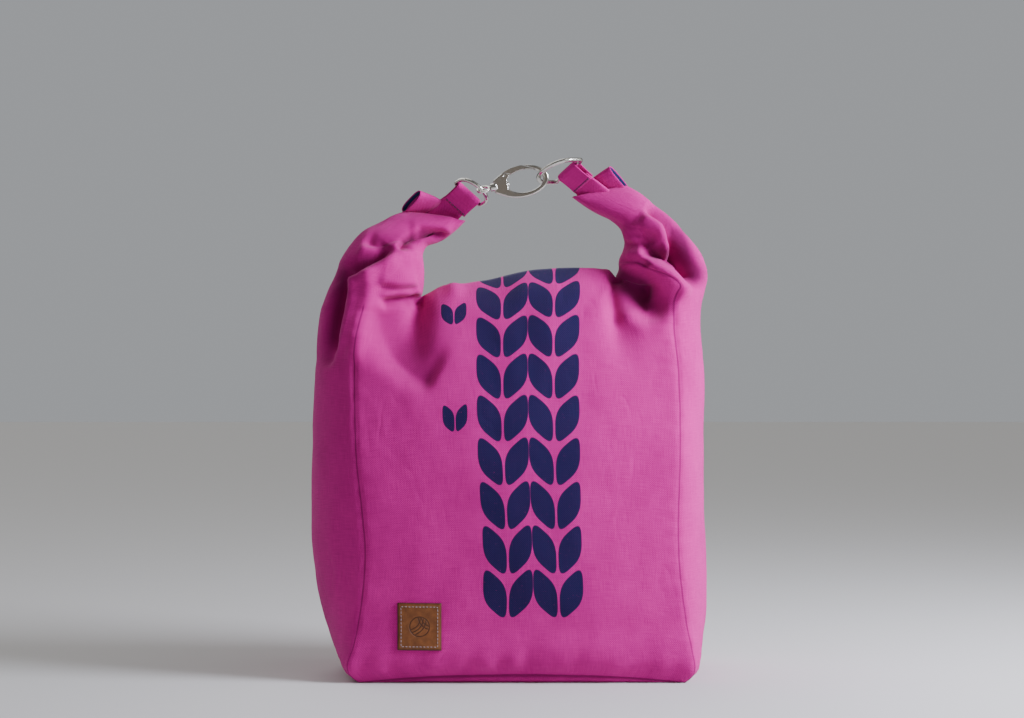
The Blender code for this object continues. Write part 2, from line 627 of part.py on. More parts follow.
def hook_gate(finish, matrix):
    """The sprung gate. Its origin is on its pin."""
    at_pin = matrix @ Matrix.Translation((PIVOT_U, PIVOT_V, 0))
    half = GATE_THICK / 2
    arm_mesh = about_pivot(prism_mesh("hook_gate", gate_outline(0), -half, half))
    gate = add_object("hook_gate", arm_mesh, finish, at_pin)
    bevel(gate, GATE_BEVEL)
    root = prism_mesh("gate_root", root_outline(0), ROOT_BOTTOM, ROOT_BOTTOM + ROOT_THICK)
    root = about_pivot(root)
    boolean(gate, add_object("gate_root", root, finish, at_pin), "UNION")
    boolean(gate, pin_hole(finish, matrix, PIN_RADIUS + PIN_PLAY_GATE))
    return gate


def gate_pin(finish, matrix):
    reach = FRAME_THICK / 2 - PIN_SHORT
    rings = cylinder_rings(Vector((0, 0, -reach)), Vector((0, 0, reach)), [PIN_RADIUS] * 2, 12)
    at_pin = matrix @ Matrix.Translation((PIVOT_U, PIVOT_V, 0))
    return add_object("gate_pin", tube_mesh("gate_pin", rings), finish, at_pin)


def gate_spring(finish, matrix):
    """A torsion spring on the pin, in the slot above the gate's knuckle."""
    low = ROOT_BOTTOM + ROOT_THICK + SPRING_PLAY + SPRING_WIRE
    rise = SPRING_WIRE * 2 + SPRING_GAP
    steps = 22
    path = []
    for i in range(steps + 1):
        turns = SPRING_TURNS * i / steps
        a = math.radians(200) + 2 * math.pi * turns
        path.append(Vector((SPRING_RADIUS * math.cos(a), SPRING_RADIUS * math.sin(a), low + rise * turns)))
    mesh = tube_mesh("gate_spring", wire_rings(path, SPRING_WIRE, 6))
    return add_object("gate_spring", mesh, finish, matrix @ Matrix.Translation((PIVOT_U, PIVOT_V, 0)))


# Assembly -------------------------------------------------------------------------------------

def build_body(pink, navy, leather, thread):
    main_panel("front_panel", -1, FRONT_RIDGE, pink)
    main_panel("back_panel", 1, BACK_RIDGE, pink)
    side_panel("left_side_panel", -1, pink)
    side_panel("right_side_panel", 1, pink)
    base_panel(pink)
    lining(navy)
    rolled_hem(pink)
    label_sheet("leather_label", LABEL_W / 2, LABEL_H / 2, GAP, GAP + LABEL_THICK, leather)
    label_stitching(thread)


def build_arms(pink, navy):
    arm("left_arm", LEFT_ARM, pink)
    arm("right_arm", RIGHT_ARM, pink)
    wide, thick = CUFF_HALF
    for name, mouth, axis, wide_axis in CUFFS:
        outer, inner = (wide, thick), (wide - CANVAS - GAP, thick - CANVAS - GAP)
        cuff(f"{name}_hem_cuff", mouth, axis, wide_axis, outer, 16 * MM, CANVAS, pink)
        inside = mouth + axis.normalized() * 0.8 * MM
        cuff(f"{name}_lining_cuff", inside, axis, wide_axis, inner, 14 * MM, LINING, navy)


def build_clasp(pink, thread, steel):
    tab("left_tab", LEFT_BAR, LEFT_B, LEFT_T, LEFT_RING[0], pink)
    tab_stitching("left_tab_stitching", LEFT_BAR, LEFT_B, LEFT_T, LEFT_RING[0], -1, thread)
    left = frame_matrix(LEFT_BAR, LEFT_B, LEFT_D)
    d_ring("left_d_ring", LEFT_RING, steel, left)

    contact, wire_axis = ring_end(left, LEFT_RING, EYE_ON_RING)
    eye_centre = contact + HOOK_AXIS * (EYE_HOLE_U - LEFT_RING[0] - EYE_PLAY)
    to_collar = EYE_HOLE_U + EYE_RIM + GAP
    hook = frame_matrix(eye_centre + HOOK_AXIS * to_collar, HOOK_AXIS, Vector((0, 0, 1)))
    swivel_eye(steel, eye_centre, wire_axis, to_collar + LEDGE_U + GAP)
    hook_frame(steel, hook)
    hook_gate(steel, hook)
    gate_pin(steel, hook)
    gate_spring(steel, hook)

    link = hook @ Vector((INNER_CENTRE + INNER_U - RIGHT_RING[0] - LINK_SLACK, 0, 0))
    at_origin = frame_matrix(Vector((0, 0, 0)), RIGHT_B, RIGHT_D)
    reach, _ = ring_end(at_origin, RIGHT_RING, pull_angle(at_origin, -HOOK_AXIS))
    right_bar = link - reach
    d_ring("right_d_ring", RIGHT_RING, steel, frame_matrix(right_bar, RIGHT_B, RIGHT_D))
    tab("right_tab", right_bar, RIGHT_B, RIGHT_T, RIGHT_RING[0], pink)
    tab_stitching("right_tab_stitching", right_bar, RIGHT_B, RIGHT_T, RIGHT_RING[0], 1, thread)


def main():
    for obj in list(bpy.data.objects):
        bpy.data.objects.remove(obj)
    pink = material("pink_canvas", (0.62, 0.07, 0.30), 0.9)
    navy = material("navy_cotton", (0.03, 0.03, 0.12), 0.9)
    leather = material("tan_leather", (0.28, 0.11, 0.04), 0.6)
    thread = material("grey_thread", (0.20, 0.15, 0.18), 0.8)
    steel = material("nickel_plate", (0.72, 0.70, 0.66), 0.22, 1.0)
    build_body(pink, navy, leather, thread)
    build_arms(pink, navy)
    build_clasp(pink, thread, steel)


main()
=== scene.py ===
"""The knitting bag's visual: canvas body and arms in one cloth, print, label, tabs, cuffs and clasp.

The cloth is drawn in millimetres: x to the right, y away from the front, z up.
"""

import functools
import math

import bpy
import numpy as np
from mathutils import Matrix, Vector, noise
from mathutils.bvhtree import BVHTree


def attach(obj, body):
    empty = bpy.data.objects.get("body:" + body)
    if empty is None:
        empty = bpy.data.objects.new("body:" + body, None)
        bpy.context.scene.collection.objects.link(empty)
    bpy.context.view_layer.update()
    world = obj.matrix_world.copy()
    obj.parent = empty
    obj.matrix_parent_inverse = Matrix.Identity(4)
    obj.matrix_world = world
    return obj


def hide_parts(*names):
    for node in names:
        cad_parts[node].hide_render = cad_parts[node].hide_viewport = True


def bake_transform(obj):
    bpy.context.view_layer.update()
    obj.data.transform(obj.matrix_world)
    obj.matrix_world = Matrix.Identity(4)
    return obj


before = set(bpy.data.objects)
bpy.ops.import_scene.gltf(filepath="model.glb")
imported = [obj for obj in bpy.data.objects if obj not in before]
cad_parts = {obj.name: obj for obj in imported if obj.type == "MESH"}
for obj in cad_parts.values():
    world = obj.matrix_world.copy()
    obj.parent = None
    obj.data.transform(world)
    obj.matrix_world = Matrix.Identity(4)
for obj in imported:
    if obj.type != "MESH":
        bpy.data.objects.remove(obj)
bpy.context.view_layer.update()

MM = 0.001

# Body outline and seams, each as (height, value)
LEFT_EDGE = [(0, -131), (5, -138), (16, -147), (42, -158), (93, -168.6), (200, -170), (262, -167)]
RIGHT_EDGE = [(0, 146), (6, 153), (16, 158), (42, 163.5), (150, 164), (262, 163.5)]
LEFT_SEAM = [
    (0, -126), (6, -133.5), (13, -136), (30, -131), (52, -126), (93, -121), (191, -129), (262, -132),
]
RIGHT_SEAM = [(0, 142), (5, 148), (12, 150), (27, 148), (50, 143.5), (93, 138), (191, 139), (262, 140)]
SEAM_DEPTH = [(0, 69), (8, 73), (50, 74), (130, 71), (200, 63), (262, 47)]
BULGE = [(0, 2), (50, 8), (130, 11), (200, 11), (262, 9)]
BOTTOM_ARCH = 7.0  # how far the bottom seams stand off the table in their middles
GUSSET_TURN = math.radians(66)  # how far round its oval a gusset has turned at the seam
GUSSET_COLUMNS, PANEL_COLUMNS = 26, 104
BACK = 1000.0  # added to the cloth coordinate u on the back, so that the front alone is printed
LOFT_FROM = 400.0  # where the cloth coordinate u of the small pieces starts
JUMP, COLUMN_WIDTH = 60, 2.5  # a face with corners further apart round the cloth joins its two ends
SETTLE_STEPS, SETTLE_CAP, SETTLE_ROUNDS = 10, 5.0, 5
HOLD, HOLD_SEAM, HOLD_RIDGE = 0.25, 0.9, 0.95  # how firmly the cloth run holds each place
HOLD_BASE, HOLD_MOUTH = (4, 14), (0.72, 0.9)  # heights, and shares of the arm, where it holds fast
BODY_SLACK, ARM_SLACK = 0.004, 0.026  # share of extra cloth the settling may buckle
SLACK_RISES = 265, 325  # heights between which the body's slack becomes the arms'
YOKE_FROM = 250  # the cloth above this height narrows to the ridge and the arms
BODY_ROWS, YOKE_ROWS, ARM_ROWS = 72, 34, 84
YOKE_ROUNDS, YOKE_SOFTNESS, YOKE_PULL = 26, 0.6, 0.9  # how much it's evened out, how it arrives
# The underside's rows inside the bottom seams: share of the width and depth, share of the height
BASE_RINGS = ((0.988, 0.3), (0.94, 0.0))

# The ridge between the arms, as (x, z)
RIDGE = [
    (-77.3, 320), (-68, 324.5), (-60, 328.5), (-51.6, 330), (-38, 331),
    (-6, 337.5), (15, 342), (48, 344.5), (76, 343.5), (84.8, 341), (88.7, 336),
]
RIDGE_ARRIVAL = (0, 0.9, 0.42)  # the direction in which the front reaches the ridge

# Arms from the shoulder to the mouth: outer edge (x, z), inner edge (x, z), middle y, half depth
LEFT_ARM = [
    (-163.5, 312, -77.3, 318.7, 0, 33),
    (-158.5, 326, -75, 330, 0, 32),
    (-153, 337, -75, 340, 0, 31),
    (-147, 351, -75.9, 349, 0, 30),
    (-138.5, 364, -76.5, 356, 1, 27),
    (-127, 376, -73, 363, 2, 23),
    (-115, 382.8, -64, 366, 4, 19),
    (-106, 387, -56.9, 369.5, 6, 16),
    (-99.5, 389.5, -47.5, 377, 7, 13),
    (-94, 391.3, -39.8, 384.6, 8, 9),
]
RIGHT_ARM = [
    (165, 321, 88.4, 336.8, 0, 33),
    (168.4, 335, 91.5, 343, 0, 32),
    (166.4, 347, 92, 351, 0, 31),
    (161.5, 358, 95.5, 359, 0, 29),
    (154, 369, 97, 366, 0, 26),
    (144, 381, 95.5, 373, 0, 23),
    (133, 391, 92.5, 379, 1, 19),
    (121, 399.5, 84, 386, 1, 17),
    (110.5, 407, 70, 392, 2, 14),
    (98.6, 413.6, 51.5, 404.5, 4, 8),
]
ARM_FULLNESS, MOUTH_FULLNESS = 0.85, 0.5  # 1 for an oval, less for a fuller section
# The lip turned in round each mouth: share of its width, of its depth, how far along the arm
MOUTH_LIP = [(0.97, 0.90, 0.4), (0.93, 0.76, -1.2), (0.88, 0.62, -6), (0.6, 0.3, -9)]
# How far the cloth is twisted up each arm, and over what share of the arm
LEFT_TWIST, RIGHT_TWIST = (math.radians(35), 0.3), (math.radians(86), 0.25)
LEFT_SHARE, RIGHT_SHARE = 0.215, 0.80  # of the front panel's width, where the ridge starts and ends
LEFT_SEAM_AT, RIGHT_SEAM_AT = math.radians(87), math.radians(68)  # round the arms' first rows
SEAM_BEYOND = (-2.0, 24.0)  # how far past the shoulder each front seam is seen, before a fold

# Folds seen from the front. A fold's cloth is raised on the left of its line (side 1) or on its
# right (-1): line of (x, z), side, raise, how wide the raise is, depth of the crease, its width.
# A crease is twice as wide on its other side, and tapers out over FOLD_TAPER of its length
FOLD_TAPER = 0.14
FOLDS = [
    ([(-53, 368), (-62, 372), (-77, 373), (-84, 370), (-89, 366), (-93, 361), (-92, 355)],
     -1, 3, 7, 11, 3.6),
    ([(-80, 371), (-94, 368), (-115, 364), (-121, 365), (-127, 369)], 1, 3.5, 6, 5, 4.5),
    ([(-98, 366), (-101, 360), (-108, 355), (-139, 338), (-141, 334), (-142, 326), (-145, 308),
      (-151, 270)], 1, 6, 8, 12, 4),
    ([(-111, 314), (-103, 316), (-94, 317), (-85, 317), (-75, 320)], 1, 3.5, 5, 9, 3),
    ([(-113, 327), (-96, 325), (-79, 327)], 1, 2.5, 5, 4, 3),
    ([(112, 397), (120, 390), (130, 383), (137, 374), (140, 366), (138, 358), (131, 355), (124, 357),
      (108, 360)], -1, 7, 6, 12, 4.5),
    ([(106, 357), (118, 359), (127, 356), (150, 337), (160, 330)], -1, 6, 8, 8, 6),
    ([(90, 350), (106, 348), (115, 344)], -1, 1.5, 4, 3, 2.5),
    ([(85, 339), (90, 335), (97, 324), (112, 307)], -1, 2.5, 7, 4, 5),
    ([(92, 366), (102, 364), (112, 366)], 1, 2, 4, 3.5, 2.5),
    ([(-113, 313), (-111, 299), (-106, 284), (-97, 269), (-83, 256), (-62, 245)], -1, 2, 9, 7.5, 12),
    ([(-143, 350), (-145, 330), (-148, 310), (-152, 288), (-157, 256)], 1, 0, 5, 7, 4.5),
]
# Broad hollows and swells seen from the front: line of (x, z), depth, width. A swell's depth is
# below 0
HOLLOWS = [
    ([(-52, 333), (-49, 326)], -3, 7),
    ([(-121, 338), (-120, 318), (-125, 298), (-131, 270)], -5, 7),
    ([(-136, 335), (-134, 330)], -2.5, 5),
    ([(113, 321), (117, 315)], 16, 18),
    ([(99, 333), (106, 328)], 13, 10),
    ([(98, 303), (110, 295), (126, 296), (138, 306)], -3, 8),
    ([(140, 370), (146, 357), (151, 346), (157, 337)], 17, 9),
    ([(106, 371), (112, 368)], 4, 5),
    ([(118, 368), (124, 364)], 5, 5),
]
BACK_HOLLOWS = [
    ([(-118, 300), (-92, 288), (-56, 272)], 7, 15),
    ([(-139, 326), (-120, 344), (-98, 352)], 6, 7),
    ([(-128, 352), (-108, 364), (-84, 372)], 6, 5),
    ([(-122, 312), (-112, 322), (-104, 326)], 4, 5),
    ([(106, 292), (118, 280), (124, 262)], 7, 12),
    ([(156, 340), (134, 362), (108, 380)], 7, 6),
    ([(156, 318), (138, 328), (118, 336)], 6, 7),
    ([(146, 374), (124, 386), (98, 392)], 4, 5),
]

# Depth and width of the seams, height of the puckers beside them and how far out these stand
SEAM_SINK, SEAM_WIDTH, SEAM_PUCKER, SEAM_PUCKER_AT = 1.1, 1.9, 0.33, 4.0
BASE_PUCKER, BASE_PUCKER_AT = 1.1, 11.0  # the puckers along the bottom and their height above it
RIPPLE_BROAD, RIPPLE_FINE = 2.4, 1.0

# Painted shade where the cloth is shut in: full in creases of this depth, and along each line of (x,
# z): share, width
FULL_SHADE_CREASE = 19.0
SHADOWS = [
    ([(94, 336), (99, 333), (107, 328)], 0.85, 8),
    ([(110, 325), (117, 312)], 0.5, 13),
    ([(98, 322), (107, 313)], 0.4, 9),
    ([(141, 369), (146, 357), (151, 346), (157, 337)], 0.85, 8),
]

# The strap tabs: bar of the ring, direction down the tab, direction of the bar, wire radius, the
# hem's end below the tab, direction of its width there
TAB_HALF, TAB_REACH, TAB_LAYER, TAB_STITCHES_AT = 12.0, 17.0, 0.8, 15.2
TAB_PLAY, TAB_LEGS, TAB_THREAD_INSET = 0.5, 1.5, 1.2  # round the bar, between the legs, at the edges
TAB_WAIST, TAB_END = 0.03, 0.55  # how much it narrows halfway, and its thickness at its two ends
TABS = {
    "left": (
        (-38, 0, 406.8), (-0.72, 0.42, -0.545), (0.7294, 0.2462, -0.6382), 1.7,
        [(-51, 7.6, 397), (-57, 9.5, 391.5), (-64, 9.5, 385), (-72, 7, 379)], (-27, 0, 3.5),
    ),
    "right": (
        (48.74, -6.59, 425.96), (0.74, 0.17, -0.65), (-0.5622, 0.6852, -0.4631), 1.9,
        [(60, -3.6, 415.5), (66, -2, 410.5), (73, 0, 404.5), (82, 1, 397)], (-25, 6, -9),
    ),
}
# The hem's end: how far down the tab it starts, and its half widths and depths, at both its ends
HEM_END_FROM, HEM_END_WIDTHS, HEM_END_DEPTHS = 11, (TAB_HALF - 0.4, TAB_HALF + 1.1), (1.2, 3.0)
# The hem's turned-back corners: mouth, direction inwards, direction of the mouth's width
CUFF_HALF, CUFF_LENGTH = (13.6, 4.6), 24.0
# Rings of a cuff and of its lining: (distance in from the mouth, share of its width, of its thickness)
CUFF_RINGS = [
    (CUFF_LENGTH, 0.88, 0.5), (CUFF_LENGTH * 0.7, 0.96, 0.8), (CUFF_LENGTH * 0.35, 0.99, 0.97),
    (2.0, 1, 1), (0.4, 1, 1), (0.0, 0.98, 0.93), (0.2, 0.95, 0.84), (2.0, 0.94, 0.8), (3.5, 0.9, 0.7),
]
CUFF_LINING_RINGS = [
    (10, 0.6, 0.3), (9, 0.85, 0.6), (2.2, 0.93, 0.78), (0.6, 0.93, 0.78), (0.4, 0.91, 0.7),
    (0.9, 0.88, 0.62), (8, 0.7, 0.4),
]
CUFFS = {
    "left": ((-86.2, -4.0, 400.6), (0.76, 0.60, -0.22), (0.76, -0.66, 0.65)),
    "right": ((91.5, -4.5, 420.5), (-0.78, 0.42, -0.46), (0.50, 0.40, -0.62)),
}

ROLL_Y, ROLL_BELOW_RIDGE, ROLL_RADIUS, ROLL_EDGE = 16.5, 18.0, 13.0, 2.4
ROLL_ENDS, ROLL_SIDES = (-82, 90), 40
ROLL_TUCK = 9.0  # how far forwards the roll's ends are drawn under the arms
ROLL_RISES, ROLL_FALLS, ROLL_END_SIZE = (-90, -62), (70, 98), 0.7  # it tapers over these x, to this
ROLL_EDGE_AT, ROLL_THREAD_AT = math.radians(-38), 0.75  # its free edge, and its thread beyond that
LABEL_X, LABEL_Z, LABEL_HALF, LABEL_THICK = -75.5, 47.5, (18.0, 19.3), 1.7
LABEL_GRID = 25  # points along each side of the label
LABEL_LAYERS = ((0.1, 0.5), (0.5, 0.0), (LABEL_THICK - 0.5, 0.0), (LABEL_THICK, 0.55))  # lift, inset
LABEL_STITCH_INSET, STITCH_PITCH, THREAD_SIDES = 3.0, 2.9, 6
THREAD_PROFILE = ((0, 0.35), (0.15, 0.85), (0.5, 1.0), (0.85, 0.85), (1, 0.35))  # along, thickness
# Threads: how far they stand out, their length and their radius
ROLL_THREAD, LABEL_THREAD, TAB_THREAD = (0.1, 2.2, 0.35), (0.12, 2.0, 0.34), (0.15, 2.5, 0.55)

# Colours, linear
PINK, LINING_NAVY, PRINT_NAVY = (0.62, 0.006, 0.27), (0.012, 0.02, 0.10), (0.006, 0.005, 0.060)
DARK_THREAD, GREY_THREAD = (0.05, 0.02, 0.07), (0.32, 0.26, 0.27)
LEATHER, LEATHER_DARK, LEATHER_LIGHT = (0.32, 0.13, 0.045), (0.15, 0.050, 0.016), (0.28, 0.100, 0.030)
LEATHER_EDGE, NICKEL, FLOOR = (0.04, 0.015, 0.009), (0.68, 0.66, 0.61), (0.60, 0.59, 0.58)

# The print in cloth coordinates: middles of the two columns of knit stitches, and loose stitches
PRINT_COLUMNS, PRINT_HALF = (-3.5, 37.0), 20.4
PRINT_FROM, PRINT_PITCH = 44.0, 36.0
LOOSE_STITCHES, LOOSE_HALF, LOOSE_PITCH = ((-41, 201), (-41, 297)), 10.0, 22.0
THREAD_PITCH = 0.85  # of the weave
# The ball of yarn stamped on the label: its radius, and its strands as arcs (x, z, radius)
BALL_RADIUS = 8.0
BALL_STRANDS = ((-9, 7, 9.5), (-9, 7, 12.0), (-9, 7, 14.5), (9, 8, 7.5), (9, 8, 10))

# The CAD's parts that the one cloth stands for
COVERED_BY_CLOTH = (
    "front_panel", "back_panel", "left_side_panel", "right_side_panel", "base_panel", "lining",
    "left_arm", "right_arm",
)

# Camera: lens in millimetres, place in metres, aimed level along y
LENS, CAMERA_PLACE = 73, (0, -1.775, 0.266)
# Lights: name, kind, place, point shone at, size (metres, or a sun's degrees), power, colour
LIGHTS = [
    ("key", "AREA", (1.0, -0.36, 0.80), (0, 0, 0.2), 0.5, 30.5, (0.93, 0.97, 1.12)),
    ("fill", "AREA", (-0.4, -2.2, 0.6), (0, 0, 0.2), 1.6, 1.1, (1.0, 0.84, 0.74)),
    ("back", "SUN", (-0.5, 0.8, 1.0), (0, 0, 0), 60, 1.2, (1, 1, 1)),
]
BACKDROP, BACKDROP_STRENGTH = (0.62, 0.64, 0.67), 0.56
# The room's light: the ceiling as (lowest height, highest height, strength at each), and each window
# as (direction, cosine where it begins, cosine where it is full, strength)
CEILING = (-0.1, 0.9, 0.05, 0.20)
WINDOWS = [((0.88, -0.26, 0.42), 0.70, 0.92, 1.0), ((-1.0, -0.1, 0.1), 0.55, 0.95, 0.32)]


# Curves and tables ----------------------------------------------------------------------------

def bridge(t, start, leave, end, arrive):
    """A smooth curve from start to end, which leaves and arrives in the given directions."""
    begun = (1 + 2 * t) * (1 - t) ** 2 * start + t * (1 - t) ** 2 * leave
    return begun + (t * t * (3 - 2 * t) * end + t * t * (t - 1) * arrive)


def smooth(table, at):
    """A smooth curve through a table of (place, value...), read at an array of places."""
    table = np.array(table, float)
    x, y = table[:, 0], table[:, 1:]
    slope = np.gradient(y, x, axis=0)
    at = np.clip(np.asarray(at, float), x[0], x[-1])
    i = np.clip(np.searchsorted(x, at, "right") - 1, 0, len(x) - 2)
    step = (x[i + 1] - x[i])[:, None]
    t = (at - x[i])[:, None] / step
    value = bridge(t, y[i], step * slope[i], y[i + 1], step * slope[i + 1])
    return value if value.shape[1] > 1 else value[:, 0]


def ease(value, low, high):
    """Rises smoothly from 0 to 1 while the value runs from low to high."""
    t = np.clip((value - low) / (high - low), 0, 1)
    return t * t * (3 - 2 * t)


def reach_along(points):
    """How far along the line through the points each of them lies."""
    return np.concatenate([[0], np.cumsum(np.linalg.norm(np.diff(points, axis=0), axis=1))])


def spaced(points, count):
    """Points evenly spaced along a smooth curve through the given points."""
    points = np.array(points, float)
    reach = reach_along(points)
    return smooth(np.column_stack([reach, points]), np.linspace(0, reach[-1], count))


def band(low, high):
    """The faces between two closed rings of point numbers."""
    return list(zip(low, [*low[1:], low[0]], [*high[1:], high[0]], high))


def unit(vector):
    return np.asarray(vector, float) / np.linalg.norm(vector)


def nearest_on_line(points, line):
    """For each (x, z): distance to the line, above 0 on its left, and the share along it."""
    line = np.array(line, float)
    reached = reach_along(line)
    best = np.full(len(points), 1e9)
    share = np.zeros(len(points))
    for k, (start, end) in enumerate(zip(line, line[1:])):
        length = reached[k + 1] - reached[k]
        along = (end - start) / length
        offset = points - start
        t = np.clip(offset @ along, 0, length)
        distance = np.linalg.norm(offset - t[:, None] * along, axis=1)
        sign = np.where(along[0] * offset[:, 1] - along[1] * offset[:, 0] >= 0, 1, -1)
        closer = distance < np.abs(best)
        best[closer] = (distance * sign)[closer]
        share[closer] = ((reached[k] + t) / reached[-1])[closer]
    return best, share


# The cloth's shape ----------------------------------------------------------------------------

def front_half(height):
    """One row of the front half of the body, from the left edge round the front to the right."""
    tables = (LEFT_EDGE, RIGHT_EDGE, LEFT_SEAM, RIGHT_SEAM, SEAM_DEPTH, BULGE)
    left, right, seam_l, seam_r, depth, bulge = (smooth(table, [height])[0] for table in tables)
    turn = GUSSET_TURN * np.arange(GUSSET_COLUMNS) / GUSSET_COLUMNS
    out = (1 - np.cos(turn)) / (1 - math.cos(GUSSET_TURN))
    back = -depth * np.sin(turn) / math.sin(GUSSET_TURN)
    share = np.arange(PANEL_COLUMNS + 1) / PANEL_COLUMNS
    across = 2 * share - 1
    right_turn = (right + (seam_r - right) * out)[::-1]
    x = [left + (seam_l - left) * out, seam_l + (seam_r - seam_l) * share, right_turn]
    y = [back, -depth - bulge * (1 - across**2), back[::-1]]
    arch = BOTTOM_ARCH * (1 - np.abs(across) ** 2.5) * (1 - ease(height, 0, 45))
    z = height + np.concatenate([0 * turn, arch, 0 * turn])
    return np.stack([np.concatenate(x), np.concatenate(y), z], axis=1)


def ring_of(front):
    """A closed row: the front half, then the back half running home, mirrored front to back."""
    return np.concatenate([front, front[-2:0:-1] * (1, -1, 1)])


def arm_sections(stations):
    """Centre, outward half vector and half depth of each row up an arm."""
    stations = np.array(stations, float)
    middle = (stations[:, :2] + stations[:, 2:4]) / 2
    reach = reach_along(middle) + 4 * np.arange(len(middle))
    rows = smooth(np.column_stack([reach, stations]), np.linspace(0, reach[-1], ARM_ROWS + 1))
    outer, inner = rows[:, [0, 4, 1]], rows[:, [2, 4, 3]]
    return (outer + inner) / 2, (outer - inner) / 2, rows[:, 5]


def arm_angles(seam, columns_to_seam, columns_after):
    """Angle round the arm of each front column, from the outer edge to the inner."""
    first = np.linspace(0, seam, columns_to_seam + 1)
    return np.concatenate([first, np.linspace(seam, math.pi, columns_after + 1)[1:]])


def arm_ring(centre, half, deep, angles, fullness=ARM_FULLNESS):
    """Points round an arm at the given angles: 0 at its outer edge, a quarter turn at its front."""
    rounded = np.sign(np.sin(angles)) * np.abs(np.sin(angles)) ** fullness
    return centre + np.cos(angles)[:, None] * half - np.outer(rounded, (0, deep, 0))


def arm_rows(sections, angles, twist):
    """Rows up an arm and a turned-in lip round its mouth, each with its climb from the row below."""
    centre, half, deep = sections
    turn, share = twist
    angles = np.concatenate([angles, -angles[-2:0:-1]])
    onward = unit(centre[-1] - centre[-4])
    plan = list(zip(centre, half, deep))
    plan += [(centre[-1] + onward * a, half[-1] * w, deep[-1] * d) for w, d, a in MOUTH_LIP]
    rows, below = [], None
    for k, (c, h, d) in enumerate(plan):
        t = min(k / ARM_ROWS, 1)
        fullness = ARM_FULLNESS + (MOUTH_FULLNESS - ARM_FULLNESS) * ease(t, 0.6, 1)
        level = arm_ring(c, h, d, angles, fullness)
        if below is not None:
            climb = np.linalg.norm(level - below, axis=1)[: len(angles) // 2 + 1]
            rows.append((arm_ring(c, h, d, angles + turn * ease(t, 0, share), fullness), climb))
        below = level
    return rows


def soften(rows, first):
    """Evens out the yoke between its bottom and its held top row and side edges."""
    rows = np.array(rows)
    share = np.clip((np.arange(len(rows)) - first) / (len(rows) - 1 - first), 0, 1)
    hold = (np.sin(math.pi * share) ** 0.8)[:, None] * np.ones(rows.shape[1])
    hold[:, :3] = hold[:, -3:] = 0
    for _ in range(YOKE_ROUNDS):
        around = sum(np.roll(rows, step, axis) for axis in (0, 1) for step in (1, -1))
        rows += (around / 4 - rows) * hold[:, :, None] * YOKE_SOFTNESS
    return list(rows)


def yoke_top(left, left_angles, right, right_angles, left_end, right_end):
    """The yoke's top row, along both arms' first rows and the ridge, and how the cloth arrives."""
    target = np.zeros((2 * GUSSET_COLUMNS + PANEL_COLUMNS + 1, 3))
    arrive = np.zeros_like(target)
    target[: left_end + 1] = arm_ring(*(part[0] for part in left), left_angles)
    target[right_end:] = arm_ring(*(part[0] for part in right), right_angles)[::-1]
    arrive[: left_end + 1] = left[0][2] - left[0][0]
    arrive[right_end:] = right[0][2] - right[0][0]
    between = np.arange(left_end, right_end + 1)
    x = np.linspace(RIDGE[0][0], RIDGE[-1][0], len(between))
    target[between] = np.stack([x, 0 * x, smooth(RIDGE, x)], axis=1)
    arrive[between[1:-1]] = RIDGE_ARRIVAL
    return target, arrive / np.linalg.norm(arrive, axis=1)[:, None]


def cloth_rows():
    """Rows of the body and yoke, the rows of each arm, and where the ridge starts and ends."""
    left_end = GUSSET_COLUMNS + round(PANEL_COLUMNS * LEFT_SHARE)
    right_end = GUSSET_COLUMNS + round(PANEL_COLUMNS * RIGHT_SHARE)
    left, right = arm_sections(LEFT_ARM), arm_sections(RIGHT_ARM)
    left_angles = arm_angles(LEFT_SEAM_AT, GUSSET_COLUMNS, left_end - GUSSET_COLUMNS)
    beyond = GUSSET_COLUMNS + PANEL_COLUMNS - right_end
    right_angles = arm_angles(RIGHT_SEAM_AT, GUSSET_COLUMNS, beyond)
    target, arrive = yoke_top(left, left_angles, right, right_angles, left_end, right_end)
    start = front_half(YOKE_FROM)
    rise = start - front_half(YOKE_FROM - 4)
    rise /= np.linalg.norm(rise, axis=1)[:, None]
    length = np.linalg.norm(target - start, axis=1)[:, None]
    rows = [front_half(z) for z in np.linspace(0, YOKE_FROM, BODY_ROWS + 1)]
    for t in np.linspace(0, 1, YOKE_ROWS + 1)[1:]:
        rows.append(bridge(t, start, length * rise, target, length * arrive * YOKE_PULL))
    rows = soften(rows, BODY_ROWS - 6)
    arms = arm_rows(left, left_angles, LEFT_TWIST), arm_rows(right, right_angles, RIGHT_TWIST)
    return rows, arms, left_end, right_end


